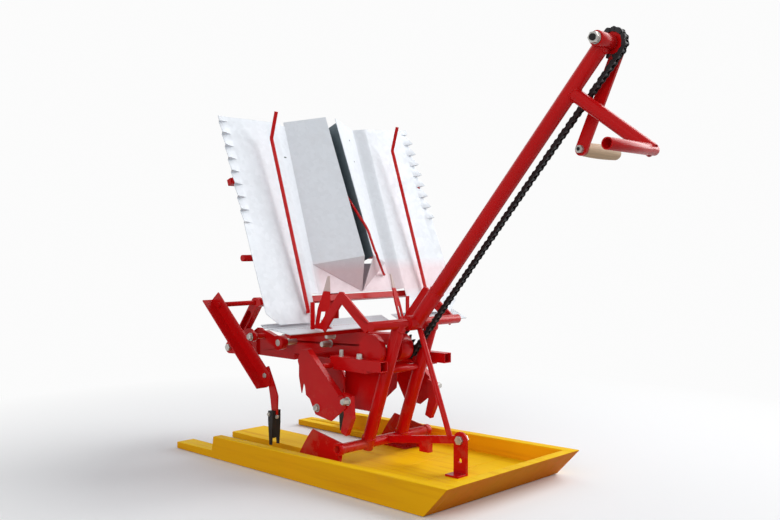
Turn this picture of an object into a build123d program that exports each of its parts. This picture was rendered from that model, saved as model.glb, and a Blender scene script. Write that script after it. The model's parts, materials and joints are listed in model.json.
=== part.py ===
from build123d import *
import math
import os

# Hand-cranked rice seeder on a wooden float, in millimetres.
# +X points to the bow and the operator, +Y to the crank side, +Z up.
# The origin is on the sole of the float, straight below the lower cross tube.

# Float
FLOAT_WIDTH = 430
SOLE_FRONT = 307
SOLE_REAR = -490
BOW_OVERHANG = 57
BOARD_T = 24
BOARD_H = 60
BOARD_STEP_H = 50
BOARD_STEP_X = -341
PLANK_T = 15
SLOT_FRONT = -150
SLOT_INNER = 52
SLOT_OUTER = 167
DECK_T = 6
DECK_REAR = -18
DECK_SEAMS = (87, 192)
DECK_GAP = 1.5

# Welded frame
LOWER_TUBE_Z = 61
LOWER_TUBE_R = 11
LOWER_TUBE_BORE = 8
LOWER_TUBE_LEN = 285
COLLAR_R = 13.5
COLLAR_LEN = 12
UPPER_TUBE_X = 94
UPPER_TUBE_Z = 325
UPPER_TUBE_R = 10
UPPER_TUBE_LEN = 275
UPRIGHT_Y = 52
UPRIGHT_R = 14
SPACER_R = 8
SPACER_AT = 0.62
SLEEVE_R = 16
SLEEVE_Y = (-30, 16)

# Drive: two equal sprockets and a roller chain
SHAFT_X = 40
SHAFT_Z = 268
SHAFT_R = 8
CHAIN_PITCH = 12.7
TEETH = 12
CHAIN_LINKS = 134
CHAIN_ANGLE = 49.2
CHAIN_Y = 28
INNER_GAP = 7.9
LINK_PLATE_T = 1.3
LINK_PLATE_H = 10
ROLLER_R = 4.0
SPROCKET_T = 6.8
TOOTH_H = 4.4
RUNNING_CLEARANCE = 0.05
LINK_GAP = 0.1

# Handle and crank
HANDLE_R = 13
HANDLE_WALL = 2
BEARING_R = 14
BEARING_Y = (-30, 18)
AXLE_R = 6
CRANK_RADIUS = 200
CRANK_ANGLE = 246.4
CRANK_Y = (50, 56)
CRANK_BAR_W = 25
GRIP_LEN = 120
GRIP_R = 14.5
BRANCH_START = 588
BRANCH_R = 11.5
BAR_X = 637
BAR_Z = 655
BAR_R = 10.5
BAR_BORE = 8.5
BAR_BORE_DEPTH = 25
BAR_Y = (-145, 11)
BAR_NECK = 0.5

# Chain case under the tray, with the planting crank shaft at its rear
CASE_HALF_W = 18
CASE_R = 30
PLANT_X = -282
PLANT_Z = 258
PLANT_CRANK_R = 50
PLANT_CRANK_ANGLE = 163.7
PLANT_CRANK_Y = (60, 72)
PLANT_PIN_END = 98.5

# Rocker, rod and planting arms
ROCKER_X = -545
ROCKER_Z = 222
ROD_X = -452
ROD_Z = 342
ROD_R = 6
ROCKER_HALF_W = 9
ROCKER_R = 13
ROW_Y = 112
ARM_T = 3
ARM_ANGLE = -42
ARM_WEB = 34
ARM_FLANGE = 27
ARM_TAIL = 32
ARM_REACH = 256
CLAW_TIP_Z = 30
CLAW_TOP_Z = 108
CLAW_X = -247
TINE_T = 3
TINE_SPAN = (-13, 11)

# Seedling tray, measured along its own lean
TRAY_LEAN = 21.34
TRAY_X = -99
TRAY_Z = 364
TRAY_MID_Y = 46.5
TRAY_HALF = 308.5
TRAY_TOP = 437
TRAY_FOOT = -44
SHEET_T = 1.5
RIDGE_FOOT = 92
RIDGE_RISE = 10
FAR_TOP = (458, 448)
PANEL_FOOT = 22
GUSSET_FOOT = 62
FOLD_N = -12
# Folds of each sheet at its foot and its top: floor edge, fold and ridge, as distances from the
# outer edge and heights out of the sheet
NEAR_FOLDS = (((145, 0), (178, FOLD_N), (294, 39)), ((166, 0), (200, FOLD_N), (293, 36)))
FAR_FOLDS = (((174, 0), (207, FOLD_N), (294, 39)), ((159, 0), (192, FOLD_N), (293, 36)))
RIM_TEETH = 8
RIM_PITCH = 30
RIM_DEPTH = 12
RAIL_R = 7
RAIL_LEN = 524
RAIL_S = 115.5
RAIL_N = -26

# Seedling gate
GATE_REAR = (-104, 323)
GATE_FRONT = (-58, 303)
GATE_CORNER = 50
GATE_T = 2
GATE_SLOT_W = 34
LEAF_X = -66
LEAF_Y = 129
LEAF_FOOT_Z = 308
LEAF_H = 114
LEAF_HALF_W = 14
LEAF_T = 3
LEAF_SPLAY = 20
LEAF_LEAN = (-0.07, 0.28)
CHEEK_Y = (144, 154)
CHEEK_TOP = 368

os.makedirs("parts", exist_ok=True)


def rod(start, end, radius, bore=0):
    """Round bar or tube between two points."""
    start, end = Vector(*start), Vector(*end)
    run = end - start
    plane = Plane(origin=start, z_dir=run)
    base = (Align.CENTER, Align.CENTER, Align.MIN)
    bar = plane * Cylinder(radius, run.length, align=base)
    if bore:
        bar -= plane * Cylinder(bore, run.length, align=base)
    return bar


def across(x, z, y_from, y_to, radius, bore=0):
    """Round bar or tube that runs along Y."""
    return rod((x, y_from, z), (x, y_to, z), radius, bore)


def plate(points, y_from, y_to):
    """Flat plate with an outline in X and Z, between two values of Y."""
    outline = Polyline(*[(x, y_from, z) for x, z in points], close=True)
    return extrude(make_face(outline), amount=y_to - y_from, dir=(0, 1, 0))


def block(x_from, x_to, y_from, y_to, z_from, z_to):
    """Box from its limits."""
    size = (x_to - x_from, y_to - y_from, z_to - z_from)
    corner = (Align.MIN, Align.MIN, Align.MIN)
    return Pos(x_from, y_from, z_from) * Box(*size, align=corner)


def link(start, end, radius, y_from, y_to):
    """Flat link with round ends between two points in X and Z."""
    run = math.hypot(end[0] - start[0], end[1] - start[1])
    turn = math.degrees(math.atan2(end[1] - start[1], end[0] - start[0]))
    middle = ((start[0] + end[0]) / 2, y_from, (start[1] + end[1]) / 2)
    plane = Plane(origin=middle, x_dir=(1, 0, 0), z_dir=(0, -1, 0))
    flat = extrude(plane * Rot(0, 0, turn) * SlotCenterToCenter(run, 2 * radius), amount=y_to - y_from)
    return Pos(0, y_to - y_from, 0) * flat


def hexagon(x, z, y_from, y_to, across_flats):
    """Hexagon nut on an axis along Y."""
    plane = Plane(origin=(x, y_to, z), x_dir=(1, 0, 0), z_dir=(0, -1, 0))
    return extrude(plane * RegularPolygon(across_flats / 2, 6, major_radius=False), amount=y_to - y_from)


def both(shape):
    """A piece and its mirror image on the other side of the middle plane."""
    return [shape, mirror(shape, about=Plane.XZ)]


def polar(x, z, radius, degrees):
    """Point at a radius and an angle from +X towards +Z."""
    turn = math.radians(degrees)
    return (x + radius * math.cos(turn), z + radius * math.sin(turn))


def save(node, *shapes):
    """Write one node with all its solids."""
    solids = [solid for shape in shapes for solid in shape.solids()]
    export_step(solids[0] if len(solids) == 1 else Compound(solids), f"parts/{node}.step")


# Float: planks with two planting slots, side boards with low tails, bow board and deck
half_width = FLOAT_WIDTH / 2
inner_width = half_width - BOARD_T
bow_slope = BOW_OVERHANG / BOARD_H
bow_inner = SOLE_FRONT - BOARD_T


def bow_face(z):
    """X of the inner face of the bow board at a height."""
    return bow_inner + bow_slope * z


planks = plate([(SOLE_REAR, 0), (bow_inner, 0), (bow_face(PLANK_T), PLANK_T), (SOLE_REAR, PLANK_T)],
               -inner_width, inner_width)
planks -= Compound(both(block(SOLE_REAR - 1, SLOT_FRONT, SLOT_INNER, SLOT_OUTER, -1, PLANK_T + 1)))
save("float_planks", planks)

side_board = plate([(SOLE_REAR, 0), (SOLE_FRONT, 0), (SOLE_FRONT + BOW_OVERHANG, BOARD_H),
                    (BOARD_STEP_X, BOARD_STEP_H), (BOARD_STEP_X - 6, PLANK_T + 2), (SOLE_REAR, PLANK_T)],
                   inner_width, half_width)
save("float_side_boards", *both(side_board))

bow_board = plate([(bow_inner, 0), (SOLE_FRONT, 0), (SOLE_FRONT + BOW_OVERHANG, BOARD_H),
                   (bow_face(BOARD_H), BOARD_H)], -inner_width, inner_width)
save("float_bow_board", bow_board)

deck_top = PLANK_T + DECK_T
deck_edges = (DECK_REAR,) + DECK_SEAMS
deck_boards = [block(rear, front - DECK_GAP, -inner_width, inner_width, PLANK_T, deck_top)
               for rear, front in zip(deck_edges, DECK_SEAMS)]
deck_boards.append(plate([(DECK_SEAMS[-1], PLANK_T), (bow_face(PLANK_T), PLANK_T),
                          (bow_face(deck_top), deck_top), (DECK_SEAMS[-1], deck_top)],
                         -inner_width, inner_width))
save("float_deck", *deck_boards)

# Lower cross tube with open ends and collars, and the heel plates that stand on the float
lower_half = LOWER_TUBE_LEN / 2
lower_tube = across(0, LOWER_TUBE_Z, -lower_half, lower_half, LOWER_TUBE_R)
for side in (-1, 1):
    lower_tube += across(0, LOWER_TUBE_Z, side * lower_half, side * (lower_half - COLLAR_LEN), COLLAR_R)
lower_tube_body = lower_tube
lower_tube = lower_tube - across(0, LOWER_TUBE_Z, -lower_half, lower_half, LOWER_TUBE_BORE)
save("lower_cross_tube", lower_tube)

heel_y = lower_half - COLLAR_LEN
heel_face = make_face([
    Line((-92, heel_y, 90), (6, heel_y, LOWER_TUBE_Z + 11)),
    Line((6, heel_y, LOWER_TUBE_Z + 11), (-5, heel_y, deck_top)),
    Line((-5, heel_y, deck_top), (DECK_REAR, heel_y, deck_top)),
    Line((DECK_REAR, heel_y, deck_top), (DECK_REAR, heel_y, PLANK_T)),
    Line((DECK_REAR, heel_y, PLANK_T), (SLOT_FRONT + 5, heel_y, PLANK_T)),
    ThreePointArc((SLOT_FRONT + 5, heel_y, PLANK_T), (-122, heel_y, 52), (-92, heel_y, 90)),
])
heel_plate = extrude(heel_face, amount=3, dir=(0, -1, 0))
heel_plate += block(SLOT_FRONT + 10, DECK_REAR, heel_y - 25, heel_y - 3, PLANK_T, PLANK_T + 3)
heel_plate -= lower_tube_body
save("heel_plates", *both(heel_plate))

# Uprights, the cross tubes they carry, and the spacers between them
upper_half = UPPER_TUBE_LEN / 2
lean = Vector(UPPER_TUBE_X, 0, UPPER_TUBE_Z - LOWER_TUBE_Z).normalized()


def on_upright(share):
    """X and Z on the middle line of the uprights."""
    return (UPPER_TUBE_X * share, LOWER_TUBE_Z + (UPPER_TUBE_Z - LOWER_TUBE_Z) * share)


upper_tube_body = across(UPPER_TUBE_X, UPPER_TUBE_Z, -upper_half, upper_half, UPPER_TUBE_R)
save("upper_cross_tube", upper_tube_body)
foot = (-12 * lean.X, UPRIGHT_Y, LOWER_TUBE_Z - 12 * lean.Z)
head = (UPPER_TUBE_X, UPRIGHT_Y, UPPER_TUBE_Z)
upright = rod(foot, head, UPRIGHT_R) - lower_tube_body - upper_tube_body
spacer_x, spacer_z = on_upright(SPACER_AT)
save("uprights", *both(upright))

gap_half = UPRIGHT_Y + UPRIGHT_R + 1
spacer = across(spacer_x, spacer_z, -gap_half, gap_half, SPACER_R)
spacer -= Compound(both(upright))
save("upright_spacers", spacer)

# Handle: sleeve on the upper tube, tube to the crank bearing, branch and fixed hand grip
crank_x, crank_z = polar(SHAFT_X, SHAFT_Z, (CHAIN_LINKS - TEETH) / 2 * CHAIN_PITCH, CHAIN_ANGLE)
handle_dir = Vector(crank_x - UPPER_TUBE_X, 0, crank_z - UPPER_TUBE_Z).normalized()


def on_handle(distance):
    """Point on the middle line of the handle, from the upper cross tube."""
    return (UPPER_TUBE_X + handle_dir.X * distance, 0, UPPER_TUBE_Z + handle_dir.Z * distance)


sleeve_body = across(UPPER_TUBE_X, UPPER_TUBE_Z, *SLEEVE_Y, SLEEVE_R)
sleeve = sleeve_body - upper_tube_body
socket = rod(on_handle(0), on_handle(90), HANDLE_R + 2.5) - sleeve_body - upper_tube_body
bearing_body = across(crank_x, crank_z, *BEARING_Y, BEARING_R)
handle_core = rod(on_handle(0), (crank_x, 0, crank_z), HANDLE_R)
save("handle_socket", sleeve + (socket - handle_core))
handle = handle_core - rod(on_handle(0), (crank_x, 0, crank_z), HANDLE_R - HANDLE_WALL)
handle = handle - sleeve_body - bearing_body
save("handle_tube", handle)
save("crank_bearing", bearing_body - across(crank_x, crank_z, *BEARING_Y, AXLE_R + RUNNING_CLEARANCE))

neck_y = -BRANCH_R - 1.5
grip_bar_body = across(BAR_X, BAR_Z, BAR_Y[0], neck_y, BAR_R)
grip_bar_body += across(BAR_X, BAR_Z, neck_y, BAR_Y[1], BAR_R - BAR_NECK)
branch = rod(on_handle(BRANCH_START), (BAR_X, 0, BAR_Z), BRANCH_R) - handle_core - grip_bar_body
save("handle_branch", branch)
save("grip_bar", grip_bar_body - across(BAR_X, BAR_Z, BAR_Y[0], BAR_Y[0] + BAR_BORE_DEPTH, BAR_BORE))

# Bow bracket, draft arm and stay rod
PIVOT_X = 217
PIVOT_Z = 92
BRACKET_W = 34
BRACKET_T = 6
ARM_DEPTH = 16
PIVOT_R = 5
HITCH_Z = 50
HITCH_R = 5
bracket_half = BRACKET_W / 2
bracket_foot = (PIVOT_X, deck_top + bracket_half)
bracket = link(bracket_foot, (PIVOT_X, PIVOT_Z), bracket_half, -BRACKET_T / 2, BRACKET_T / 2)
bracket += block(PIVOT_X - bracket_half, PIVOT_X + bracket_half, -BRACKET_T / 2, BRACKET_T / 2,
                 deck_top, deck_top + bracket_half)
bracket += block(PIVOT_X - bracket_half, PIVOT_X + bracket_half, -30, -BRACKET_T / 2, deck_top, deck_top + 4)
bracket -= across(PIVOT_X, PIVOT_Z, -BRACKET_T, BRACKET_T, PIVOT_R)
bracket -= across(PIVOT_X, HITCH_Z, -BRACKET_T, BRACKET_T, HITCH_R)
save("bow_bracket", bracket)

arm_y = (BRACKET_T / 2, BRACKET_T / 2 + 6)
draft_arm = link((0, LOWER_TUBE_Z), (PIVOT_X, PIVOT_Z), ARM_DEPTH / 2, *arm_y)
draft_arm += block(100, 126, arm_y[0], arm_y[1] + 8, 50, 76)
draft_arm = draft_arm - lower_tube_body - across(PIVOT_X, PIVOT_Z, *arm_y, PIVOT_R)
save("draft_arm", draft_arm)
pivot_bolt = across(PIVOT_X, PIVOT_Z, -BRACKET_T / 2 - 6, arm_y[1] + 6, PIVOT_R)
pivot_bolt += hexagon(PIVOT_X, PIVOT_Z, -BRACKET_T / 2 - 6, -BRACKET_T / 2, 17)
pivot_bolt += hexagon(PIVOT_X, PIVOT_Z, arm_y[1], arm_y[1] + 6, 17)
save("draft_pivot_bolt", pivot_bolt)

stay_y = (arm_y[0] + arm_y[1]) / 2
stay_rod = rod((98, stay_y, 314), (184, stay_y, 90), 6) - draft_arm - sleeve_body
stay_rod = stay_rod - (socket + upper_tube_body)
save("stay_rod", stay_rod)

# Chain case with the main shaft at its front and the planting crank shaft at its rear
case = link((PLANT_X, PLANT_Z), (SHAFT_X, SHAFT_Z), CASE_R, -CASE_HALF_W, CASE_HALF_W)
case_body = case
for x, z in ((PLANT_X, PLANT_Z), (SHAFT_X, SHAFT_Z)):
    case -= across(x, z, -CASE_HALF_W, CASE_HALF_W, SHAFT_R + RUNNING_CLEARANCE)
save("chain_case", case)

# Cross bars below the case, and the tail beam that carries the rocker
BAR_HALF_W = 8
INNER_GUARD_Y = 82.5
CROSS_BARS = (-60, -170)
cross_bars = [block(x - BAR_HALF_W, x + BAR_HALF_W, -INNER_GUARD_Y, INNER_GUARD_Y, 216, 240) - case_body
              for x in CROSS_BARS]
save("case_cross_bars", *[max(bar.solids(), key=lambda solid: solid.volume) for bar in cross_bars])

BEAM_HALF_W = 14
LUG_T = 6
BEAM_REAR = -480
BEAM_Z = (212, 262)
LUG_R = 16
tail_beam = block(BEAM_REAR, PLANT_X - 8, -BEAM_HALF_W, BEAM_HALF_W, *BEAM_Z) - case_body
save("tail_beam", tail_beam)
lug = plate([(BEAM_REAR + 50, BEAM_Z[1]), (BEAM_REAR + 50, BEAM_Z[0]), (ROCKER_X, ROCKER_Z - LUG_R),
             (ROCKER_X, ROCKER_Z + LUG_R), (-505, 255), (BEAM_REAR + 10, BEAM_Z[1] + 14),
             (BEAM_REAR + 25, BEAM_Z[1] + 14)], BEAM_HALF_W, BEAM_HALF_W + LUG_T)
lug += across(ROCKER_X, ROCKER_Z, BEAM_HALF_W, BEAM_HALF_W + LUG_T, LUG_R)
lug -= across(ROCKER_X, ROCKER_Z, BEAM_HALF_W, BEAM_HALF_W + LUG_T, ROD_R)
save("rocker_lugs", *both(lug))
lug_outer = BEAM_HALF_W + LUG_T
rocker_pin = across(ROCKER_X, ROCKER_Z, -lug_outer - 7, lug_outer + 7, ROD_R)
for side in (-1, 1):
    rocker_pin += hexagon(ROCKER_X, ROCKER_Z, min(side * lug_outer, side * (lug_outer + 7)),
                          max(side * lug_outer, side * (lug_outer + 7)), 17)
save("rocker_pin", rocker_pin)

# Guard carriers: a shield plate inside, shelf brackets and short square tubes outside the uprights
SHELF_Z = (223, 229)
TUBE_Y = (90, 112)
TUBE_X = (-55, 97)
TUBE_WALL = 2
shield = plate([(-61, 133), (14, 133), (45, 215), (45, 216), (-61, 216)], -62, -59)
shield += plate([(-51, 216), (45, 216), (45, SHELF_Z[0]), (-51, SHELF_Z[0])], -62, -59)
shield -= mirror(upright, about=Plane.XZ)
save("drive_shield", max(shield.solids(), key=lambda solid: solid.volume))
shelf = block(-45, 56, 59, TUBE_Y[1], *SHELF_Z) - upright - spacer
save("guard_shelves", *both(max(shelf.solids(), key=lambda solid: solid.volume)))
square = block(*TUBE_X, *TUBE_Y, SHELF_Z[1], SHELF_Z[1] + 22)
square -= block(*TUBE_X, TUBE_Y[0] + TUBE_WALL, TUBE_Y[1] - TUBE_WALL, SHELF_Z[1] + TUBE_WALL,
                SHELF_Z[1] + 22 - TUBE_WALL)
save("guard_tubes", *both(square))

# Row guards beside each claw path: the inner with a hooked finger, the outer with a folded edge
inner_guard = plate([(-190, 228), (-150, 240), (-68, 240), (-52, 219), (-38, 200), (-44, 160), (-78, 132),
                     (-128, 128), (-166, 150), (-172, 186), (-181, 152), (-190, 190)],
                    INNER_GUARD_Y, INNER_GUARD_Y + 3)
inner_guard -= block(-47, 60, INNER_GUARD_Y, INNER_GUARD_Y + 3, SHELF_Z[0] - 1, 260)
save("row_guards_inner", *both(inner_guard))

OUTER_GUARD_Y = 138.5
outer_guard = plate([(-118, 262), (-84, 266), (16, 178), (26, 152), (-20, 118), (-70, 126), (-112, 196),
                     (-128, 236)], OUTER_GUARD_Y, OUTER_GUARD_Y + 3)
fold = plate([(-84, 266), (16, 178), (14, 175.7), (-86, 263.7)], OUTER_GUARD_Y + 3, OUTER_GUARD_Y + 14)
save("row_guards_outer", *both(outer_guard + fold))
guard_bolt = across(-50, 231, TUBE_Y[1], OUTER_GUARD_Y, 6)
save("guard_spacers", *both(guard_bolt))
guard_foot = plate([(12, 182), (36, 176), (40, 130), (22, 92), (6, 98), (16, 136)], OUTER_GUARD_Y - 12,
                   OUTER_GUARD_Y)
save("guard_feet", *both(guard_foot))

# Frame of the tray, which leans back
sin_lean = math.sin(math.radians(TRAY_LEAN))
cos_lean = math.cos(math.radians(TRAY_LEAN))


def on_tray(s, n):
    """X and Z at a distance s up the tray sheet and n in front of it."""
    return (TRAY_X - s * sin_lean + n * cos_lean, TRAY_Z + s * cos_lean + n * sin_lean)


# Seedling gate: sloping perforated plate with two slots, its beam, side brackets and guide leaves
gate_run = Vector(GATE_FRONT[0] - GATE_REAR[0], 0, GATE_FRONT[1] - GATE_REAR[1])
gate_length = gate_run.length
gate_dir = gate_run.normalized()
gate_up = Vector(-gate_dir.Z, 0, gate_dir.X)


def on_gate(distance, height=0):
    """X and Z on the gate plate, down its slope and above its lower face."""
    return (GATE_REAR[0] + gate_dir.X * distance + gate_up.X * height,
            GATE_REAR[1] + gate_dir.Z * distance + gate_up.Z * height)


gate_y = (TRAY_MID_Y - TRAY_HALF, TRAY_MID_Y + TRAY_HALF)
gate_outline = [on_gate(0), on_gate(gate_length), on_gate(gate_length, GATE_T), on_gate(0, GATE_T)]
gate_plate = plate(gate_outline, *gate_y)
slot_front = on_gate(gate_length - 7)[0]
slot_half = GATE_SLOT_W / 2
gate_plate -= Compound(both(block(GATE_REAR[0] - 5, slot_front, ROW_Y - slot_half, ROW_Y + slot_half,
                                  GATE_FRONT[1] - 20, GATE_REAR[1] + 20)))
below = GATE_FRONT[1] - 10
ahead = GATE_FRONT[0] + 5
corner = Polyline((GATE_REAR[0] + 12, gate_y[0] - 1, below), (ahead, gate_y[0] - 1, below),
                  (ahead, gate_y[0] + GATE_CORNER, below), close=True)
gate_plate -= extrude(make_face(corner), amount=GATE_REAR[1] + 10 - below, dir=(0, 0, 1))
save("gate_plate", gate_plate)

gate_beam = plate([on_gate(gate_length - 26, 0), on_gate(gate_length - 8, 0), on_gate(gate_length - 8, -14),
                   on_gate(gate_length - 26, -14)], gate_y[0] + GATE_CORNER, gate_y[1] - GATE_CORNER)
save("gate_beam", gate_beam - case_body)

CHEVRON_Y = (129.5, 134.5)
chevron = plate([(90, 328), (76, 309.5), (4, 367), (-48.5, 304), (-66, 318), (-2, 392), (8, 392)], *CHEVRON_Y)
gate_solid = plate([on_gate(-5, -20), on_gate(gate_length + 12, -20), on_gate(gate_length + 12, GATE_T),
                    on_gate(-5, GATE_T)], 0, 400)
chevron = chevron - upper_tube_body - gate_solid
save("gate_brackets", *both(max(chevron.solids(), key=lambda solid: solid.volume)))

# Guide leaves: pointed blades that lean inwards, with a slotted foot, and a low cheek behind each
leaf_across = Vector(-math.sin(math.radians(LEAF_SPLAY)), math.cos(math.radians(LEAF_SPLAY)), 0)
leaf_up = Vector(LEAF_LEAN[0], -LEAF_LEAN[1], 1)


def leaf_sheet(outline):
    """Sheet in the leaf's own plane from widths and heights above its foot."""
    foot = Vector(LEAF_X, LEAF_Y, LEAF_FOOT_Z)
    face = make_face(Polyline(*[foot + leaf_across * u + leaf_up * w for u, w in outline], close=True))
    return extrude(face, amount=LEAF_T, dir=leaf_up.cross(leaf_across).normalized())


leaf = leaf_sheet([(-LEAF_HALF_W, 0), (LEAF_HALF_W, 0), (LEAF_HALF_W, 46), (7, 84), (3, LEAF_H), (-2, LEAF_H),
                   (-8, 84), (-LEAF_HALF_W, 50)])
leaf -= leaf_sheet([(-5, 14), (5, 14), (5, 38), (-5, 38)])
leaf = leaf - gate_solid - chevron
cheek = block(LEAF_X - 5, LEAF_X - 2, *CHEEK_Y, GATE_FRONT[1], CHEEK_TOP) - gate_solid
leaves = []
for shape in (leaf, cheek):
    leaves += both(max(shape.solids(), key=lambda solid: solid.volume))
save("gate_leaves", *leaves)

# Tray rail on its mast
rail_x, rail_z = on_tray(RAIL_S, RAIL_N)
rail = across(rail_x, rail_z, -RAIL_LEN / 2, RAIL_LEN / 2, RAIL_R)
save("tray_rail", rail)
mast = block(rail_x - 10, rail_x + 7, -10, 10, 270, rail_z) - rail - case_body
save("tray_mast", max(mast.solids(), key=lambda solid: solid.volume))

# Roller chain: alternate inner and outer links round both sprockets. Where the teeth turn through
# the loop, they take the place of the rollers between the link plates.
pitch_r = CHAIN_PITCH / (2 * math.sin(math.pi / TEETH))
tip_r = pitch_r + TOOTH_H
wrap = TEETH // 2
straight = (CHAIN_LINKS - TEETH) // 2


def chain_joint(index):
    """X and Z of one roller, counted round the loop from the lower sprocket's upper side."""
    index %= CHAIN_LINKS
    half = 180 / TEETH
    if index < straight:
        start = polar(SHAFT_X, SHAFT_Z, pitch_r, CHAIN_ANGLE + 90)
        return polar(*start, index * CHAIN_PITCH, CHAIN_ANGLE)
    if index < straight + wrap:
        return polar(crank_x, crank_z, pitch_r, CHAIN_ANGLE + 90 - (index - straight) * 2 * half)
    if index < 2 * straight + wrap:
        start = polar(crank_x, crank_z, pitch_r, CHAIN_ANGLE - 90)
        return polar(*start, (index - straight - wrap) * CHAIN_PITCH, CHAIN_ANGLE + 180)
    return polar(SHAFT_X, SHAFT_Z, pitch_r, CHAIN_ANGLE - 90 - (index - 2 * straight - wrap) * 2 * half)


def link_outline(start, end, height, reach, corners):
    """Long plate outline past both joints, with four or six corners."""
    run = math.hypot(end[0] - start[0], end[1] - start[1])
    along = ((end[0] - start[0]) / run, (end[1] - start[1]) / run)
    half = height / 2
    ends = [(-reach, -half), (run + reach, -half), (run + reach, half), (-reach, half)]
    if corners == 6:
        ends = [(0, -half), (run, -half), (run + reach, 0), (run, half), (0, half), (-reach, 0)]
    return [(start[0] + a * along[0] - b * along[1], start[1] + a * along[1] + b * along[0]) for a, b in ends]


inner_y = INNER_GAP / 2
outer_y = inner_y + LINK_PLATE_T + LINK_GAP
chain = []
for index in range(CHAIN_LINKS):
    start, end = chain_joint(index), chain_joint(index + 1)
    outer = index % 2
    inner_face = outer_y if outer else inner_y
    corners = 6 if outer else 4
    reach = LINK_PLATE_H / 2 if outer else ROLLER_R
    height = LINK_PLATE_H if outer else 2 * ROLLER_R
    for side in (-1, 1):
        faces = sorted((CHAIN_Y + side * inner_face, CHAIN_Y + side * (inner_face + LINK_PLATE_T)))
        chain.append(plate(link_outline(start, end, height, reach, corners), *faces))
    turn = math.degrees(math.atan2(end[1] - start[1], end[0] - start[0]))
    axles = ((SHAFT_X, SHAFT_Z), (crank_x, crank_z))
    if min(math.dist(start, axle) for axle in axles) > tip_r + ROLLER_R + LINK_GAP:
        roller = [polar(*start, ROLLER_R - 0.4, turn + quarter) for quarter in (0, 90, 180, 270)]
        chain.append(plate(roller, CHAIN_Y - inner_y + LINK_GAP, CHAIN_Y + inner_y - LINK_GAP))
save("roller_chain", *chain)


def sprocket(x, z, phase):
    """Toothed wheel whose gullets seat the rollers."""
    face_y = CHAIN_Y - SPROCKET_T / 2
    half = 180 / TEETH
    points = []
    for tooth in range(TEETH):
        middle = phase + (tooth + 0.5) * 2 * half
        for radius, offset in ((pitch_r - 4.6, -11), (pitch_r, -5.2), (tip_r, -1.6),
                               (tip_r, 1.6), (pitch_r, 5.2), (pitch_r - 4.6, 11)):
            points.append(polar(x, z, radius, middle + offset))
    return plate(points, face_y, face_y + SPROCKET_T)


# Hand crank: axle with nut, upper sprocket with hub, crank arm and wooden grip
hub = across(crank_x, crank_z, CHAIN_Y + SPROCKET_T / 2, CRANK_Y[0], 13)
collar = across(crank_x, crank_z, BEARING_Y[1] + 0.6, CHAIN_Y - SPROCKET_T / 2, 10)
axle_body = across(crank_x, crank_z, BEARING_Y[0] - 14, CRANK_Y[1] + 7, AXLE_R)
upper_sprocket = sprocket(crank_x, crank_z, CHAIN_ANGLE + 90) + hub + collar - axle_body
save("crank_sprocket", upper_sprocket)
axle = axle_body + hexagon(crank_x, crank_z, BEARING_Y[0] - 11, BEARING_Y[0] - 3, 19)
axle += across(crank_x, crank_z, BEARING_Y[0] - 3, BEARING_Y[0] - 1, 11)
axle += hexagon(crank_x, crank_z, CRANK_Y[1], CRANK_Y[1] + 6, 19)
save("crank_axle", axle)
grip_x, grip_z = polar(crank_x, crank_z, CRANK_RADIUS, CRANK_ANGLE)
grip_pin = across(grip_x, grip_z, CRANK_Y[0] - 9, CRANK_Y[1] + GRIP_LEN + 6, 5)
crank_arm = link((crank_x, crank_z), (grip_x, grip_z), CRANK_BAR_W / 2, *CRANK_Y) - axle_body - grip_pin
save("crank_arm", crank_arm)
grip_pin += hexagon(grip_x, grip_z, CRANK_Y[0] - 8, CRANK_Y[0], 14)
save("crank_grip_pin", grip_pin)
grip_y = CRANK_Y[1] + 3
grip_profile = make_face([
    Line((grip_x + 5, grip_y, grip_z), (grip_x + GRIP_R - 3, grip_y, grip_z)),
    Line((grip_x + GRIP_R - 3, grip_y, grip_z), (grip_x + GRIP_R - 1, grip_y + 4, grip_z)),
    ThreePointArc((grip_x + GRIP_R - 1, grip_y + 4, grip_z), (grip_x + GRIP_R, grip_y + GRIP_LEN / 2, grip_z),
                  (grip_x + GRIP_R - 1, grip_y + GRIP_LEN - 4, grip_z)),
    Line((grip_x + GRIP_R - 1, grip_y + GRIP_LEN - 4, grip_z),
         (grip_x + GRIP_R - 4, grip_y + GRIP_LEN, grip_z)),
    Line((grip_x + GRIP_R - 4, grip_y + GRIP_LEN, grip_z), (grip_x + 5, grip_y + GRIP_LEN, grip_z)),
    Line((grip_x + 5, grip_y + GRIP_LEN, grip_z), (grip_x + 5, grip_y, grip_z)),
])
grip = revolve(grip_profile, axis=Axis((grip_x, 0, grip_z), (0, 1, 0)))
save("crank_grip", grip - grip_pin)

# Main shaft with the lower sprocket and the near drum
DRUM_Y = (-85, -71)
DRUM_R = 34
DRUM_FACE = 4
shaft_body = across(SHAFT_X, SHAFT_Z, DRUM_Y[0] + DRUM_FACE - 1, 39, SHAFT_R)
lower_hub = across(SHAFT_X, SHAFT_Z, CHAIN_Y + SPROCKET_T / 2, 37.4, 14)
lower_collar = across(SHAFT_X, SHAFT_Z, CASE_HALF_W + 0.6, CHAIN_Y - SPROCKET_T / 2, 12)
lower_sprocket = sprocket(SHAFT_X, SHAFT_Z, CHAIN_ANGLE + 90) + lower_hub + lower_collar - shaft_body
save("drive_sprocket", lower_sprocket)
save("main_shaft", shaft_body)
drum = across(SHAFT_X, SHAFT_Z, *DRUM_Y, DRUM_R) - shaft_body
drum -= across(SHAFT_X, SHAFT_Z, DRUM_Y[0] + DRUM_FACE, DRUM_Y[1], DRUM_R - DRUM_FACE)
drum += across(SHAFT_X, SHAFT_Z, *DRUM_Y, 15) - shaft_body
save("shaft_drum", drum)

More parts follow.
